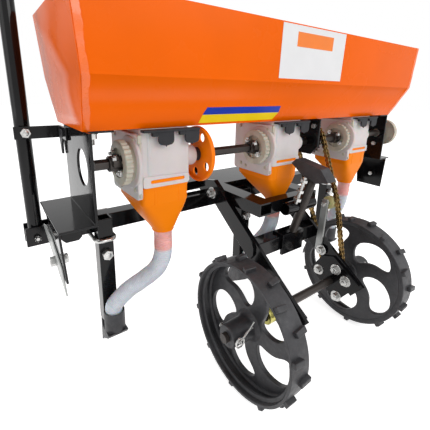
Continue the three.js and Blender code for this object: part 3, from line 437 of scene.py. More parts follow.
    def piece(self, name, material, body="root", replaces=(), smooth=50):
        self.shape.transform(PLACE)
        mesh = self.finished(name)
        mesh.materials.append(material)
        mesh.shade_smooth()
        mesh.set_sharp_from_angle(angle=math.radians(smooth))
        thing = bpy.data.objects.new(name, mesh)
        bpy.context.scene.collection.objects.link(thing)
        weighted = thing.modifiers.new("weighted_normals", "WEIGHTED_NORMAL")
        weighted.keep_sharp = True
        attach(thing, body)
        if replaces:
            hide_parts(*replaces)
        return thing


def circle(u, v, radius, steps=32):
    offsets = [polar(radius, 2 * math.pi * i / steps) for i in range(steps)]
    return [(u + across, v + up) for across, up in offsets]


def softened(loop, spacing, passes):
    """An outline walked in even steps, with its corners rounded off."""
    points = [Vector(p) for p in loop]
    walked = []
    for start, end in zip(points, points[1:] + points[:1]):
        count = max(1, round((end - start).length / spacing))
        walked += [start.lerp(end, i / count) for i in range(count)]
    for _ in range(passes):
        walked = [(walked[i - 1] + walked[i] * 2 + walked[(i + 1) % len(walked)]) / 4
                  for i in range(len(walked))]
    return [tuple(p) for p in walked]


def spline(points, steps):
    """A Catmull-Rom curve through points, with some steps between each two."""
    points = [Vector(p) for p in points]
    ends = [points[0] * 2 - points[1], *points, points[-1] * 2 - points[-2]]
    curve = []
    for a, b, c, d in zip(ends, ends[1:], ends[2:], ends[3:]):
        for i in range(steps):
            t = i / steps
            curve.append(0.5 * (b * 2 + (c - a) * t + (a * 2 - b * 5 + c * 4 - d) * t * t
                                + (b * 3 - a - c * 3 + d) * t * t * t))
    curve.append(points[-1])
    return curve


def even_walk(points, spacing):
    """Points an even distance apart along a line of points."""
    walk = [points[0].copy()]
    left = spacing
    for start, end in zip(points, points[1:]):
        length = (end - start).length
        done = 0.0
        while length - done >= left:
            done += left
            walk.append(start.lerp(end, done / length))
            left = spacing
        left -= length - done
    return walk


# ---------- camera, floor and light ----------
CAMERA_SPOT = (-0.6454, -0.6283, 0.6812)
CAMERA_DEG = {"yaw": 35.63, "pitch": 14.78, "roll": 1.03}
CAMERA_LENS = 26.288
CAMERA_SHIFT = (0.020, -0.0956)


def build_camera():
    """The viewpoint stands behind the left wheel, a little above the hopper's foot."""
    yaw, pitch, roll = (math.radians(angle) for angle in CAMERA_DEG.values())
    right = Vector((math.cos(yaw), -math.sin(yaw), 0))
    ahead = Vector((math.sin(yaw) * math.cos(pitch), math.cos(yaw) * math.cos(pitch), -math.sin(pitch)))
    up = right.cross(ahead)
    rolled_right = right * math.cos(roll) + up * math.sin(roll)
    rolled_up = up * math.cos(roll) - right * math.sin(roll)
    turn = Matrix((rolled_right, rolled_up, -ahead)).transposed().to_4x4()
    lens = bpy.data.cameras.new("camera")
    lens.sensor_width = 36
    lens.lens = CAMERA_LENS
    lens.shift_x, lens.shift_y = CAMERA_SHIFT
    lens.clip_start = 0.02
    camera = bpy.data.objects.new("camera", lens)
    camera.matrix_world = Matrix.Translation(CAMERA_SPOT) @ turn
    bpy.context.scene.collection.objects.link(camera)
    bpy.context.scene.camera = camera


FLOOR_GLOW = 0.72
FLOOR_RADIUS = 14.0
FLOOR_DROP = 0.0005
WORLD_STRENGTH = 0.6
LAMP_AIM = Vector((0, 0, 0.45))
# Each lamp's name, place, width and length, and power in watts.
LAMPS = (("key", (0.9, -2.6, 1.9), (2.2, 1.4), 35), ("top", (-0.4, 0.2, 3.0), (2.6, 2.2), 23),
         ("side", (-2.8, -0.3, 1.2), (1.6, 1.6), 9))


def seen_directly(tree):
    """1 for a ray from the camera, off a gloss or through glass, and 0 for the light on the object."""
    path = tree.nodes.new("ShaderNodeLightPath")
    source = path.outputs["Is Camera Ray"]
    for other in ("Is Glossy Ray", "Is Transmission Ray"):
        total = tree.nodes.new("ShaderNodeMath")
        total.operation = "ADD"
        total.use_clamp = True
        tree.links.new(source, total.inputs[0])
        tree.links.new(path.outputs[other], total.inputs[1])
        source = total.outputs[0]
    return source


def build_floor():
    nodes = Nodes("floor_white")
    tone = nodes.ramp(nodes.noise(3.0, 4.0), [(0.3, (0.86, 0.86, 0.86, 1)), (0.7, (0.9, 0.9, 0.9, 1))])
    diffuse = nodes.add("ShaderNodeBsdfDiffuse")
    nodes.join(tone, diffuse.inputs["Color"])
    glow = nodes.add("ShaderNodeEmission")
    amount = nodes.add("ShaderNodeMath", operation="MULTIPLY")
    amount.inputs[1].default_value = FLOOR_GLOW
    nodes.join(seen_directly(nodes.tree), amount.inputs[0])
    nodes.join(amount.outputs[0], glow.inputs["Strength"])
    both = nodes.add("ShaderNodeAddShader")
    nodes.join(diffuse.outputs["BSDF"], both.inputs[0])
    nodes.join(glow.outputs["Emission"], both.inputs[1])
    nodes.join(both.outputs["Shader"], nodes.output.inputs["Surface"])
    bm = bmesh.new()
    bmesh.ops.create_circle(bm, cap_ends=True, segments=96, radius=FLOOR_RADIUS)
    mesh = bpy.data.meshes.new("floor")
    bm.to_mesh(mesh)
    bm.free()
    mesh.materials.append(nodes.material)
    floor = bpy.data.objects.new("floor", mesh)
    floor.location.z = -FLOOR_DROP
    bpy.context.scene.collection.objects.link(floor)


def build_light():
    world = bpy.data.worlds.new("studio")
    bpy.context.scene.world = world
    world.use_nodes = True
    tree = world.node_tree
    tree.nodes.clear()
    output = tree.nodes.new("ShaderNodeOutputWorld")
    studio = tree.nodes.new("ShaderNodeBackground")
    studio.inputs["Color"].default_value = (1, 1, 1, 1)
    studio.inputs["Strength"].default_value = WORLD_STRENGTH
    seen = tree.nodes.new("ShaderNodeBackground")
    seen.inputs["Color"].default_value = (1, 1, 1, 1)
    seen.inputs["Strength"].default_value = 1.0
    mix = tree.nodes.new("ShaderNodeMixShader")
    tree.links.new(seen_directly(tree), mix.inputs[0])
    tree.links.new(studio.outputs[0], mix.inputs[1])
    tree.links.new(seen.outputs[0], mix.inputs[2])
    tree.links.new(mix.outputs[0], output.inputs["Surface"])
    for name, spot, size, power in LAMPS:
        lamp = bpy.data.lights.new(name, "AREA")
        lamp.shape = "RECTANGLE"
        lamp.size, lamp.size_y = size
        lamp.energy = power
        thing = bpy.data.objects.new(name, lamp)
        aim = LAMP_AIM - Vector(spot)
        thing.rotation_euler = aim.to_track_quat("-Z", "Y").to_euler()
        thing.location = spot
        bpy.context.scene.collection.objects.link(thing)


# ---------- hopper ----------
HOPPER_FLOOR, HOPPER_FOLD, HOPPER_RIM = 66.0, 155.7, 277.6
HOPPER_HALF = {HOPPER_FLOOR: 512.7, HOPPER_FOLD: 520.7, HOPPER_RIM: 530.3}
HOPPER_REAR = {HOPPER_FLOOR: -31.2, HOPPER_FOLD: -79.4, HOPPER_RIM: -82.8}
HOPPER_FRONT = {HOPPER_FLOOR: 163.0, HOPPER_FOLD: 211.2, HOPPER_RIM: 214.6}
SEAM_STEPS = 44
SEAM_MARGIN = 3.0
SEAM_WIDTH = 11.0


def between(table, z):
    """A size at a height, straight from one level of a table to the next."""
    levels = sorted(table)
    for low, high in zip(levels, levels[1:]):
        if z <= high or high == levels[-1]:
            return table[low] + (table[high] - table[low]) * (z - low) / (high - low)


def build_hopper():
    Kit().copy_of("hopper", 1.6, 3, 8).piece("hopper_shell", ORANGE_PAINT, replaces=["hopper"], smooth=60)
    seams = Kit()
    seam_foot = HOPPER_FLOOR + SEAM_MARGIN
    seam_height = HOPPER_RIM - HOPPER_FLOOR - 2 * SEAM_MARGIN
    rng = random.Random(4)
    for side in (-1, 1):
        for end, edge_of in ((-1, HOPPER_REAR), (1, HOPPER_FRONT)):
            bm = bmesh.new()
            rows = []
            for step in range(SEAM_STEPS + 1):
                z = seam_foot + step * seam_height / SEAM_STEPS
                corner_x = side * (between(HOPPER_HALF, z) - 1.4)
                y = between(edge_of, z)
                width = SEAM_WIDTH + rng.uniform(-0.9, 0.9) + 0.9 * math.sin(z / 11)
                inner_x = corner_x - side * width
                out = end * (1.0 + 0.25 * math.sin(z / 7))
                rows.append([bm.verts.new(p) for p in (
                    (corner_x, y - end * 0.4, z), (corner_x, y + out, z), (inner_x + side * 1.5, y + out, z),
                    (inner_x, y + out * 0.4, z), (inner_x, y - end * 0.4, z))])
            skin(bm, rows)
            seams.take(bm)
    seams.piece("hopper_seams", SEAM_PAINT, smooth=40)
    film("hopper_label", (-109, 120, 164), (-109, 120, 275), LABEL_WHITE)
    film("hopper_label_band", (-60, 70, 232), (-60, 70, 262), LABEL_ORANGE, 0.8)
    film("hopper_sticker_blue", (-282, -61, 88), (-276, -63, 103), STICKER_BLUE)
    film("hopper_sticker_yellow", (-286, -72, 71), (-282, -61, 88), STICKER_YELLOW)


def film(name, foot, head, material, lift=0.5):
    """A blank film on the hopper's rear panel, whose foot and head are each a left, a right and a height."""
    bm = bmesh.new()
    corners = [(foot[0], foot[2]), (foot[1], foot[2]), (head[1], head[2]), (head[0], head[2])]
    skin(bm, [[bm.verts.new((x, between(HOPPER_REAR, z) - out, z)) for x, z in corners]
              for out in (0.1, lift)])
    Kit().take(bm).piece(name, material)


# ---------- metering units ----------
BODY_WIDTH = 108.0
BODY_REAR, BODY_FRONT = -32.0, 95.0
BODY_TOP, BODY_BOTTOM = 66.0, -50.0
FLANGE = {"thick": 8.0, "rear": -35.0, "front": 100.0, "top": 56.0, "bottom": -72.0}
# The slot in the lip: its distances in from the body's two sides, and its heights above the body's foot.
SLOT = {"left": 19, "right": 13, "low": 8.5, "high": 15.5}
DIAL_HUB_LENGTH = 18.0
FUNNEL_SKIRT_Z = -85.0
OUTLET_SHIFT = 8.0
OUTLET_Y, OUTLET_Z = 4.0, -158.3


def build_unit(number):
    low, high = drawn(f"funnel_{number}")
    x = (low.x + high.x) / 2
    left, right = x - BODY_WIDTH / 2, x + BODY_WIDTH / 2
    body = Kit()
    body.block((left, BODY_REAR, BODY_BOTTOM + 0.3), (right, BODY_FRONT, BODY_TOP - 0.3), 6, 5)
    body.block((left + 13, BODY_REAR - 0.9, BODY_BOTTOM + 24),
               (left + 21, BODY_REAR + 5, BODY_TOP - 3), 2.6, 4)
    lip = softened([(left + 3, BODY_BOTTOM + 0.4), (right - 2, BODY_BOTTOM + 0.4),
                    (right - 2, BODY_BOTTOM + 21), (left + 3, BODY_BOTTOM + 24)], 3, 4)
    slot_left, slot_right = left + SLOT["left"], right - SLOT["right"]
    slot_low, slot_high = BODY_BOTTOM + SLOT["low"], BODY_BOTTOM + SLOT["high"]
    slot = softened([(slot_left, slot_low), (slot_right, slot_low), (slot_right, slot_high),
                     (slot_left, slot_high)], 1.5, 5)
    body.cut(lip, 3.4, at(0, BODY_REAR + 1, 0) @ REAR_ON, [slot], 1.0, 3)
    rear, front = FLANGE["rear"], FLANGE["front"]
    outline = softened([(rear, FLANGE["bottom"]), (front, FLANGE["bottom"]), (front, FLANGE["top"]),
                        (rear, FLANGE["top"])], 4, 5)
    face = left - FLANGE["thick"]
    body.cut(outline, FLANGE["thick"] + 2, at(face, 0, 0) @ SIDE_ON, [], 2.2, 4)
    body.turned([(20, -3), (49, -3), (51, -1), (52, 3), (20, 3)], at(face, 0, 0) @ X_AXIS, 64)
    body.turned([(11.2, -2), (26, -2), (23, 1), (22, 4), (22, 22), (20, 26), (11.2, 26)],
                at(right, 0, 0) @ X_AXIS, 48)
    body.piece(f"meter_housing_{number}_shell", MILK_PLASTIC, replaces=[f"meter_housing_{number}"])

    fixings = Kit()
    for y, z in ((rear + 13, 44), (front - 22, 46), (rear + 13, -52), (front - 30, -56), (52, -60)):
        fixings.turned([(0, 0), (4.2, 0), (4.6, 0.8), (3.6, 2.6), (0, 3.2)],
                       facing((face, y, z), (-1, 0, 0)), 20)
    fixings.block((face + 1, rear - 3.4, 38), (face + 9, rear + 2, 55), 1.4, 3)
    fixings.rod([(face + 5, rear - 3, 40), (face + 5, rear - 3.4, 20)], 2.2, 12)
    fixings.block((face + 2, rear - 2.4, -66), (face + 8, rear + 2, -58), 1.6, 3)
    fixings.piece(f"unit_screws_{number}", IVORY_PLASTIC)

    behind = Kit().block((slot_left - 3, BODY_REAR - 0.6, slot_low - 1.5),
                         (slot_right + 3, BODY_REAR + 0.4, slot_high + 1.5), 0.4)
    behind.piece(f"unit_slot_{number}", ORANGE_PLASTIC)
    build_unit_dial(number)
    build_funnel(number, x)
    build_gate(number, x)


def ridged_ring(count, low, high, steps):
    """An outline whose radius rises and falls a number of times round the circle."""
    loop = []
    for i in range(steps):
        turn = 2 * math.pi * i / steps
        wave = 0.5 + 0.5 * math.cos(turn * count)
        loop.append(polar(low + (high - low) * wave ** 0.6, turn))
    return loop


def build_unit_dial(number):
    low, high = drawn(f"metering_dial_{number}")
    outer, inner = low.x + DIAL_HUB_LENGTH, high.x
    dial = Kit()
    dial.cut(ridged_ring(26, 40.6, 43.6, 416), inner - outer - 9, at(outer + 1.5, 0, 0) @ SIDE_ON,
             [circle(0, 0, 30, 48)], 0.8)
    dial.turned([(30, 0), (38, 0), (36.5, 2), (36.5, 6), (39, 8), (30, 8)], at(inner - 8, 0, 0) @ X_AXIS, 64)
    dial.turned([(29, 0), (40.5, 0), (42.5, 1.6), (41.5, 4), (29, 4)], at(outer, 0, 0) @ X_AXIS, 64)
    dial.turned([(13, 0), (28, 0), (31, 5), (31, 9), (13, 9)], at(outer + 5, 0, 0) @ X_AXIS, 48)
    for i in range(6):
        turn = Matrix.Rotation(2 * math.pi * i / 6 + 0.3, 4, "X")
        dial.block((outer + 2.5, -2, 15), (outer + 10, 2, 31), 0.6, 2, turn)
    dial.piece(f"metering_dial_{number}_ring", IVORY_PLASTIC, replaces=[f"metering_dial_{number}"])
    hub = Kit()
    hub.turned([(11.2, 0), (14, 0), (15, 1), (15, 15), (17, 17), (17, DIAL_HUB_LENGTH + 8),
                (11.2, DIAL_HUB_LENGTH + 8)], at(low.x, 0, 0) @ X_AXIS, 40)
    hub.block((low.x + 3, -24, -3), (low.x + 15, -8, 9), 1.6, 3)
    hub.piece(f"dial_hub_{number}", DARK_STEEL)
    nuts = Kit()
    for y, z in ((-22, -15), (17, 16)):
        spot = facing((outer + 1, y, z), (-1, 0, 0))
        nuts.hexagon(12, 7, spot)
        nuts.thread(3.2, 0, 12, spot)
    head = at(low.x + 9, -15, 8)
    nuts.hexagon(11, 7, head)
    nuts.thread(3.4, 6, 5, head)
    nuts.piece(f"dial_nuts_{number}", ZINC)


def build_funnel(number, x):
    """A rectangular skirt that runs down into a round outlet, with a lip round its mouth."""
    middle_y = (BODY_REAR + BODY_FRONT) / 2
    half_x, half_y = BODY_WIDTH / 2, (BODY_FRONT - BODY_REAR) / 2
    outlet = x + OUTLET_SHIFT
    skirt = (x, middle_y, FUNNEL_SKIRT_Z, half_x, half_y, 9.0)
    throat = [(outlet, OUTLET_Y, OUTLET_Z + 0.3, 22, 22, 2.0),
              (outlet - 1, OUTLET_Y + 2, OUTLET_Z + 12, 27, 28, 2.6),
              (x + 4, OUTLET_Y + 14, FUNNEL_SKIRT_Z - 34, 42, 45, 4.0), skirt]
    levels = [tuple(level) for level in spline(throat, 12)]
    levels.append((x, middle_y, BODY_BOTTOM - 5, half_x + 0.3, half_y + 0.3, 9.0))
    levels.append((x, middle_y, BODY_BOTTOM - 4, half_x + 1.2, half_y + 1.2, 9.0))
    levels.append((x, middle_y, BODY_BOTTOM, half_x + 1.2, half_y + 1.2, 9.0))
    funnel = Kit().loft(levels)
    funnel.turned([(17, 0), (23.4, 0), (24, 1), (24, 6), (22, 8), (17, 8)],
                  at(outlet, OUTLET_Y, OUTLET_Z + 0.2), 56)
    funnel.turned([(0, -16), (17, -16), (17, 1), (0, 1)], at(outlet, OUTLET_Y, OUTLET_Z), 40)
    for offset in (-26, 28):
        funnel.block((x + offset - 2, BODY_REAR - 0.8, FUNNEL_SKIRT_Z - 2),
                     (x + offset + 2, BODY_REAR + 4, BODY_BOTTOM - 4), 1.2, 3)
    funnel.piece(f"funnel_{number}_shell", ORANGE_PLASTIC, replaces=[f"funnel_{number}"], smooth=40)


TONGUE_WIDTH = 33.0
TONGUE_TIP = 33.6
# One edge of a tongue: the distance in from its side, and down from the gate's top.
TONGUE_EDGE = ((0, 4), (0, 22), (1.5, 26), (5, 29), (12, 30.4), (15.5, 31))


def build_gate(number, x):
    low, high = drawn(f"seed_gate_{number}")
    gate = Kit()
    gate.block((low.x, low.y, high.z - 5), (high.x, high.y, high.z), 1.0)
    for start in (x - 22, x + 36):
        half = [(start + across, high.z - down) for across, down in TONGUE_EDGE]
        tip = (start + TONGUE_WIDTH / 2, high.z - TONGUE_TIP)
        tongue = [*half, tip, *((2 * tip[0] - x_edge, z) for x_edge, z in reversed(half))]
        gate.cut(tongue, 4.5, at(0, low.y + 7, 0) @ REAR_ON, [], 0.8)
        gate.block((start - 12, low.y + 3, high.z - 13), (start + 2, low.y + 11, high.z - 4), 1.2)
    gate.piece(f"seed_gate_{number}_tongues", DARK_PLASTIC, replaces=[f"seed_gate_{number}"])


# ---------- hoses ----------
HOSE_RADIUS = 20.5
HOSE_STEP = 0.75
RIB_PITCH = 4.6
RIB_DEPTH = 1.9
MOUTH_Z = -380.0
MOUTH_RADIUS = 24.5


def build_hose(number):
    funnel_low, funnel_high = drawn(f"funnel_{number}")
    x = (funnel_low.x + funnel_high.x) / 2 + OUTLET_SHIFT
    shank_low, shank_high = drawn(f"opener_shank_{number}")
    sideways = (shank_low.x + shank_high.x) / 2 - x
    mouth_y = shank_low.y - MOUTH_RADIUS - 0.3
    route = [(0, OUTLET_Y, OUTLET_Z), (0, OUTLET_Y, OUTLET_Z - 14), (0, OUTLET_Y, OUTLET_Z - 28),
             (0, OUTLET_Y + 4, OUTLET_Z - 66), (0.1, OUTLET_Y + 18, OUTLET_Z - 104),
             (0.36, OUTLET_Y + 40, OUTLET_Z - 136), (0.66, OUTLET_Y + 62, OUTLET_Z - 165),
             (0.9, mouth_y - 6, OUTLET_Z - 196), (1, mouth_y, MOUTH_Z + 8), (1, mouth_y, MOUTH_Z - 14)]
    line = spline([(x + sideways * share, y, z) for share, y, z in route], 60)
    walk = even_walk(line, HOSE_STEP)
    radii = []
    for i in range(len(walk)):
        travelled = i * HOSE_STEP
        rest = (len(walk) - i) * HOSE_STEP
        wave = (0.5 + 0.5 * math.cos(2 * math.pi * travelled / RIB_PITCH)) ** 0.55
        depth = RIB_DEPTH * min(1, max(0, (travelled - 3) / 9)) * (0.3 if rest < 30 else 1)
        radii.append(HOSE_RADIUS - 0.3 - depth * wave)
    hose = Kit().rod(walk, HOSE_RADIUS, 40, radii=radii)
    hose.piece(f"seed_hose_{number}_ribbed", HOSE_PLASTIC, replaces=[f"seed_hose_{number}"])


# ---------- openers ----------
CLAMP_ROD_RADIUS = 5.0
CLAMP_Z = -206.0
CLAMP_CORNER = 16.0
CLAMP_PLATE_TOP, CLAMP_PLATE_HEIGHT = -158.3, 58.0


def build_opener(number):
    Kit().copy_of(f"opener_shank_{number}", 1.8, 3).piece(f"opener_shank_{number}_tube", BLACK_PAINT,
                                                         replaces=[f"opener_shank_{number}"])
    Kit().copy_of(f"opener_boot_{number}", 1.2, 3).piece(f"opener_boot_{number}_casting", GREY_CAST,
                                                        replaces=[f"opener_boot_{number}"], smooth=40)
    low, high = drawn(f"opener_shank_{number}")
    x = (low.x + high.x) / 2
    front_y = drawn(f"opener_clamp_{number}")[1].y
    rod_y = low.y - CLAMP_ROD_RADIUS - 0.3
    leg = (high.x - low.x) / 2 + CLAMP_ROD_RADIUS + 0.3
    path = [(x - leg, front_y, CLAMP_Z), (x - leg, rod_y + CLAMP_CORNER, CLAMP_Z)]
    for i in range(1, 7):
        turn = math.pi / 2 * i / 6
        path.append((x - leg + CLAMP_CORNER * (1 - math.cos(turn)),
                     rod_y + CLAMP_CORNER * (1 - math.sin(turn)), CLAMP_Z))
    path += [(2 * x - p[0], p[1], p[2]) for p in reversed(path)]
    clamp = Kit().rod(path, CLAMP_ROD_RADIUS, 20)
    plate_y = high.y + 40.0
    clamp.block((x - 31, plate_y, CLAMP_PLATE_TOP - CLAMP_PLATE_HEIGHT),
                (x + 31, plate_y + 6, CLAMP_PLATE_TOP), 1.5)
    for side in (-1, 1):
        clamp.hexagon(17, 8, at(x + side * leg, plate_y + 6, CLAMP_Z) @ Y_AXIS)
    clamp.piece(f"opener_clamp_{number}_bolt", ZINC, replaces=[f"opener_clamp_{number}"])
    Kit().bolt((x - 1, low.y, -242), (0, -1, 0), 22).piece(f"opener_set_bolt_{number}", ZINC)


# ---------- plain frame pieces, with rounded edges ----------
PLAIN_PIECES = (
    ("toolbar", BLACK_PAINT, 2.4), ("centre_frame", BLACK_PAINT, 2.0), ("drawbar", BLACK_PAINT, 2.0),
    ("hitch_plate", BLACK_PAINT, 1.2), ("side_plate_left", BLACK_PAINT, 1.2),
    ("side_plate_right", BLACK_PAINT, 1.2), ("covering_blade_left", ZINC_PLATE, 0.6),
    ("covering_blade_right", ZINC_PLATE, 0.6), ("marker_bracket_left", BLACK_PAINT, 1.2),
    ("marker_bracket_right", BLACK_PAINT, 1.2), ("marker_strap", BLACK_PAINT, 1.0),
    ("marker_arm", BLACK_PAINT, 0.8), ("marker_rod", ZINC, 0.8), ("wheel_arm_left", BLACK_PAINT, 1.2),
    ("wheel_arm_right", BLACK_PAINT, 1.2), ("axle_bearing_left", YELLOW_ZINC, 1.0),
    ("axle_bearing_right", YELLOW_ZINC, 1.0), ("arm_cross_tube", BLACK_PAINT, 2.4), ("axle", DARK_STEEL, 1.0),
    ("metering_shaft", DARK_STEEL, 0.8), ("shaft_hanger", BLACK_PAINT, 1.0),
    ("tensioner_bar", ZINC_PLATE, 0.9), ("adjuster_rod", DARK_STEEL, 0.8),
    ("adjuster_clamp", BLACK_PAINT, 1.0), ("adjuster_casting", GREY_CAST, 3.0))
MOVING_BODY = {"marker_arm": "marker", "marker_rod": "marker", "axle": "axle",
               "metering_shaft": "metering_shaft"}


def build_plain():
    for node, material, round_by in PLAIN_PIECES:
        body = MOVING_BODY.get(node, "root")
        Kit().copy_of(node, round_by).piece(f"{node}_finished", material, body, [node])


# ---------- wheels ----------
RIM_RADIUS = 155.8
WHEEL_INNER_X, WHEEL_OUTER_X = 193.9, 244.5
LUG_PAIRS = 10
LUG_SLANT = 0.12
LUG_OUTER_DEG = {"left": 23.4, "right": 30.0}
SPOKES = 5
# The hole between two spokes: radius, then the degrees of its two edges from the hole's middle.
SPOKE_HOLE = ((45, -15, 1), (60, -25, 8), (75, -27, 14), (90, -25, 21), (105, -20, 30), (120, -11, 33),
              (131, -3, 27), (138, 6, 17))
SPOKE_HOLE_DEG = {"left": -36.0, "right": 196.0}


def spoke_hole(start):
    loop = [(radius, first) for radius, first, last in SPOKE_HOLE]
    loop += [(radius, last) for radius, first, last in reversed(SPOKE_HOLE)]
    return softened([polar(radius, math.radians(start + turn)) for radius, turn in loop], 3.0, 9)


def build_wheel(side, name):
    low, high = drawn(f"wheel_{name}")
    hub_x = high.x if side > 0 else -low.x
    inner_x, outer_x = WHEEL_INNER_X, WHEEL_OUTER_X
    # Drawn with the outer face towards +Z, then turned about so that +Z runs outward along the axle.
    stand = at(0, AXLE.y, AXLE.z) @ (SIDE_ON if side > 0 else Matrix.Rotation(math.pi, 4, "Z") @ SIDE_ON)
    wheel = Kit()
    rim = [(RIM_RADIUS, inner_x + 1), (RIM_RADIUS, outer_x - 1), (RIM_RADIUS - 1, outer_x),
           (RIM_RADIUS - 6, outer_x), (RIM_RADIUS - 8, outer_x - 2), (RIM_RADIUS - 8, outer_x - 10),
           (RIM_RADIUS - 14, outer_x - 12), (RIM_RADIUS - 15, outer_x - 13), (RIM_RADIUS - 15, outer_x - 17),
           (RIM_RADIUS - 9, outer_x - 21), (RIM_RADIUS - 8, inner_x + 18), (RIM_RADIUS - 13, inner_x + 13),
           (RIM_RADIUS - 14, inner_x + 4), (RIM_RADIUS - 7, inner_x), (RIM_RADIUS - 1, inner_x)]
    wheel.turned(rim, stand, 120)
    holes = [spoke_hole(SPOKE_HOLE_DEG[name] + 360 * i / SPOKES) for i in range(SPOKES)]
    wheel.cut(circle(0, 0, RIM_RADIUS - 12, 120), 12, stand @ at(0, 0, inner_x + 2), holes, 3.4, 3)
    wheel.turned([(11.3, inner_x), (27, inner_x), (30, inner_x + 3), (38, inner_x + 14), (31, inner_x + 19),
                  (27.5, inner_x + 26), (26, hub_x - 4), (24, hub_x), (11.3, hub_x)], stand, 56)
    for i in range(2 * LUG_PAIRS):
        outside = i % 2 == 0
        length = (outer_x - inner_x) / 2 + 2
        along = outer_x - 1 - length / 2 if outside else inner_x + 1 + length / 2
        turn = math.radians(LUG_OUTER_DEG[name] + 180 * i / LUG_PAIRS) * side
        if side < 0:
            turn += math.pi
        slant = LUG_SLANT if outside else -LUG_SLANT
        place = (stand @ Matrix.Rotation(turn, 4, "Z") @ at(RIM_RADIUS + 2.5, 0, along)
                 @ Matrix.Rotation(-slant, 4, "X"))
        wheel.block((-6, -6.2, -length / 2), (6.5, 6.2, length / 2), 1.8, 3, place)
    wheel.piece(f"wheel_{name}_casting", GREY_CAST, "axle", [f"wheel_{name}"], 45)
    build_hub_pin(side, name, side * (hub_x - 11))


def build_hub_pin(side, name, x):
    """The pin across a wheel's hub, with the ring and the two legs of its spring clip."""
    clip = Kit()
    across = facing((x, AXLE.y + 34, AXLE.z + 3), (0, -1, 0))
    clip.round_bar(3.4, 68, across, 16, 0.5)
    clip.round_bar(5.4, 3, across, 20, 0.5)
    ring = []
    for i in range(41):
        out, up = polar(11, math.pi * 2 * 1.35 * i / 40)
        ring.append((x + side * out, AXLE.y - 31 - 2.0 * i / 40, AXLE.z + 3 + up))
    ring += [(x - side * 24, AXLE.y - 33, AXLE.z + 24), (x - side * 38, AXLE.y - 32, AXLE.z + 37)]
    clip.rod(spline(ring, 3), 1.8, 10)
    lower_leg = [(x + side * 10, AXLE.y - 30, AXLE.z + 2), (x - side * 6, AXLE.y - 32, AXLE.z + 8),
                 (x - side * 20, AXLE.y - 29, AXLE.z + 16), (x - side * 36, AXLE.y - 31, AXLE.z + 23)]
    clip.rod(spline(lower_leg, 6), 1.8, 10)
    clip.piece(f"hub_pin_{name}", ZINC, "axle")


# ---------- chain drive ----------
CHAIN_PITCH = 12.7
CHAIN_INSET = 6.1
CHAIN_LINE_STEPS = 1440


def chain_line():
    """The closed line that the chain's pins follow, round its two sprockets and the roller."""
    circles = []
    for node in ("shaft_sprocket", "tensioner_roller", "axle_sprocket"):
        low, high = drawn(node)
        circles.append((((low.y + high.y) / 2, (low.z + high.z) / 2), (high.z - low.z) / 2 + CHAIN_INSET))
    line = []
    for i in range(CHAIN_LINE_STEPS):
        normal = polar(1, 2 * math.pi * i / CHAIN_LINE_STEPS)
        reach = [c[0] * normal[0] + c[1] * normal[1] + r for c, r in circles]
        centre, radius = circles[reach.index(max(reach))]
        line.append(Vector((0, centre[0] + radius * normal[0], centre[1] + radius * normal[1])))
    line.append(line[0].copy())
    return line


def build_chain():
    low, high = drawn("drive_chain")
    x = (low.x + high.x) / 2
    line = chain_line()
    total = sum((b - a).length for a, b in zip(line, line[1:]))
    count = round(total / CHAIN_PITCH / 2) * 2
    walk = even_walk(line, total / count)[:count]
    chain = Kit()
    figure = []
    half = total / count / 2
    for centre, start in ((half, -1), (-half, 1)):
        for i in range(9):
            turn = start * math.pi / 2 + math.pi * i / 8
            figure.append((centre + 5.6 * math.cos(turn), 5.8 * math.sin(turn)))
        figure.append((0, -4.2 * start))
    link_mesh = {}
    for inner in (True, False):
        link = Kit()
        offset = 3.3 if inner else 5.1
        for side in (-1, 1):
            link.cut(figure, 1.5, at(0, 0, side * offset - 0.75), [], 0.25, 1)
        link_mesh[inner] = link.finished("link")
    pin = Kit()
    pin.round_bar(2.2, 13.6, at(0, 0, -6.8), 12, 0.4)
    pin.round_bar(4.2, 5.4, at(0, 0, -2.7), 16, 0.3)
    pin_mesh = pin.finished("pin")
    for i, point in enumerate(walk):
        after = walk[(i + 1) % count]
        centre = (point + after) / 2
        along = (after - point).normalized()
        frame_of = Matrix((Vector((0, along.y, along.z)), Vector((0, -along.z, along.y)),
                           Vector((1, 0, 0)))).transposed().to_4x4()
        for mesh, spot in ((link_mesh[i % 2 == 0], centre), (pin_mesh, point)):
            bm = bmesh.new()
            bm.from_mesh(mesh)
            chain.take(bm, at(x, spot.y, spot.z) @ frame_of)
    chain.piece("drive_chain_links", CHAIN_STEEL, replaces=["drive_chain"], smooth=40)


def toothed(count, root, tip):
    """A sprocket's outline, with its teeth as plain flat-topped ones."""
    loop = []
    for i in range(count):
        for share, radius in ((0.0, root), (0.22, root), (0.38, tip), (0.62, tip), (0.78, root)):
            loop.append(polar(radius, 2 * math.pi * (i + share) / count))
    return loop


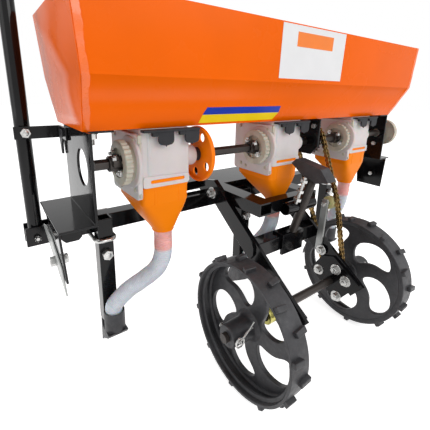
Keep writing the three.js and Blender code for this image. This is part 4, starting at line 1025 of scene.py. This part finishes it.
def build_sprockets():
    for node, body, teeth, bore, hub in (("shaft_sprocket", "metering_shaft", 22, 10.5, 18.0),
                                         ("axle_sprocket", "axle", 14, 11.3, 17.0)):
        low, high = drawn(node)
        radius = (high.z - low.z) / 2
        spot = drawn_middle(node)
        sprocket = Kit().cut(toothed(teeth, radius - 3.4, radius), 4, at(low.x, spot.y, spot.z) @ SIDE_ON,
                             [circle(0, 0, bore, 32)], 0.5)
        sprocket.turned([(bore, 2), (hub, 2), (hub, high.x - low.x - 1), (hub - 1, high.x - low.x),
                         (bore, high.x - low.x)], at(low.x, spot.y, spot.z) @ X_AXIS, 40)
        sprocket.piece(f"{node}_teeth", DARK_STEEL, body, [node])
    low, high = drawn("tensioner_roller")
    spot = drawn_middle("tensioner_roller")
    width = high.x - low.x
    radius = (high.z - low.z) / 2
    roller = Kit().turned([(5.4, 0), (radius - 1.5, 0), (radius, 1.5), (radius, 3), (radius - 2, 5),
                           (radius - 2, width - 5), (radius, width - 3), (radius, width - 1.5),
                           (radius - 1.5, width), (5.4, width)], at(low.x, spot.y, spot.z) @ X_AXIS, 56)
    roller.piece("tensioner_roller_wheel", ROLLER_PLASTIC, replaces=["tensioner_roller"])
    low, high = drawn("end_dial")
    radius = (high.z - low.z) / 2
    width = high.x - low.x
    dial = Kit().turned([(10.8, 0), (24, 0), (26, 2), (radius - 6, 2), (radius - 2, 0), (radius, 2),
                         (radius, width - 2), (radius - 2, width), (radius - 8, width - 1), (24, width - 4),
                         (10.8, width - 4)], at(low.x, 0, 0) @ X_AXIS, 72)
    dial.piece("end_dial_wheel", IVORY_PLASTIC, "metering_shaft", ["end_dial"])


DISC_HOLE_RADIUS = 9.5
DISC_HOLE_CIRCLE = 41.0
DISC_HOLE_DEG = (24, 114, 214, 280)


def build_index_disc():
    low, high = drawn("index_disc")
    radius = (high.z - low.z) / 2
    holes = [circle(*polar(DISC_HOLE_CIRCLE, math.radians(degrees)), DISC_HOLE_RADIUS)
             for degrees in DISC_HOLE_DEG]
    disc = Kit().cut(circle(0, 0, radius, 96), 5, at(high.x - 5, 0, 0) @ SIDE_ON,
                     [circle(0, 0, 12, 32), *holes], 0.8, 3)
    disc.turned([(radius - 5, 0), (radius - 0.4, 0), (radius - 0.4, 8.4), (radius - 3, 8.4), (radius - 5, 6)],
                at(high.x - 8.4, 0, 0) @ X_AXIS, 96)
    disc.piece("index_disc_plate", DISC_PLASTIC, "metering_shaft", ["index_disc"])
    bush = Kit().turned([(10.8, 0), (14, 0), (15, 1.5), (15, 14), (10.8, 14)], at(low.x, 0, 0) @ X_AXIS, 40)
    bush.piece("index_disc_bush", DARK_PLASTIC, "metering_shaft")


ADJUSTER_TOP = (-108, -62)
ADJUSTER_FOOT = (-60, -232)


def build_adjuster_nuts():
    """The screw inside the slanted rod's collar and the zinc bolt beside it."""
    low, high = drawn("adjuster_rod")
    x = (low.x + high.x) / 2
    top = Vector((x, *ADJUSTER_TOP))
    along = (Vector((x, *ADJUSTER_FOOT)) - top).normalized()
    screw = Kit().thread(12, 14, 96, facing(top, along))
    screw.piece("adjuster_screw", DARK_STEEL)
    nuts = Kit()
    beside = top + Vector((-23, 6, 0))
    nuts.round_bar(4.5, 78, facing(beside + along * 6, along), 20)
    for travelled, flats, height in ((12, 17, 8), (42, 17, 8), (66, 19, 9)):
        nuts.hexagon(flats, height, facing(beside + along * travelled, along))
    nuts.piece("adjuster_nuts", ZINC)


HOOK_OUTLINE = ((118, 60), (146, 60), (146, 44), (140, 30), (134, 8), (129, 8), (128, 28), (120, 40))
HOOK_X = -516
HOOK_DROP = -6
FLANGE_BOLT = (-494, -14, 61.5)


def build_hook():
    """A small casting under the left side plate's flange, and the bolt that hangs beside it."""
    hook = Kit()
    for offset in (0, 7):
        hook.cut(softened(HOOK_OUTLINE, 3, 3), 4.5, at(HOOK_X + offset, 0, HOOK_DROP) @ SIDE_ON, [], 1.2, 3)
    hook.piece("left_hook", GREY_CAST)
    bolt = Kit()
    hanging = facing(FLANGE_BOLT, (0, 0, -1))
    bolt.turned([(0, 0), (11, 0), (11.6, 0.8), (11, 2.2), (0, 2.2)], hanging, 32)
    bolt.hexagon(17, 9, hanging @ at(0, 0, 2))
    bolt.thread(5, 10, 12, hanging)
    bolt.piece("left_flange_bolt", ZINC)


# ---------- bolts ----------
# Each bolt's place, the way its head faces, the width over its flats, and whether it has a washer.
LEFTWARD, RIGHTWARD, REARWARD = (-1, 0, 0), (1, 0, 0), (0, -1, 0)
FRAME_BOLTS = (
    ((-126, 128, -151), LEFTWARD, 19, True),
    *(((105.3, y, z), LEFTWARD, 17, True) for y, z in ((-94, -303), (-94, -366), (-146, -340), (-177, -361),
                                                       (-157, -418))),
    ((505, 0, -37), LEFTWARD, 13, False), ((553, 18, -160), LEFTWARD, 13, False),
    ((-577, 147, 48), REARWARD, 17, False), ((104, -30, 46), LEFTWARD, 12, False),
    ((104, 28, 46), LEFTWARD, 12, False), ((-561, 46, -190), LEFTWARD, 17, True),
    ((-552, 46, -190), RIGHTWARD, 17, True))
SMALL_FLATS = 12


def build_bolts():
    bolts = Kit()
    for bolt in FRAME_BOLTS:
        bolts.bolt(*bolt)
    bolts.piece("frame_bolts", ZINC)
    low, high = drawn("marker_arm")
    pivot = Kit().bolt(((low.x + high.x) / 2, low.y + 7.6, -179), REARWARD, SMALL_FLATS)
    pivot.piece("marker_pivot_bolt", ZINC, "marker")
    spot = drawn_middle("tensioner_roller")
    Kit().bolt((105.3, spot.y, spot.z), LEFTWARD, SMALL_FLATS).piece("tensioner_bolt", ZINC)


build_camera()
build_floor()
build_light()
build_hopper()
for row in (1, 2, 3):
    build_unit(row)
    build_hose(row)
    build_opener(row)
build_plain()
build_wheel(-1, "left")
build_wheel(1, "right")
build_chain()
build_sprockets()
build_index_disc()
build_adjuster_nuts()
build_hook()
build_bolts()

bpy.context.scene.view_settings.view_transform = "Standard"
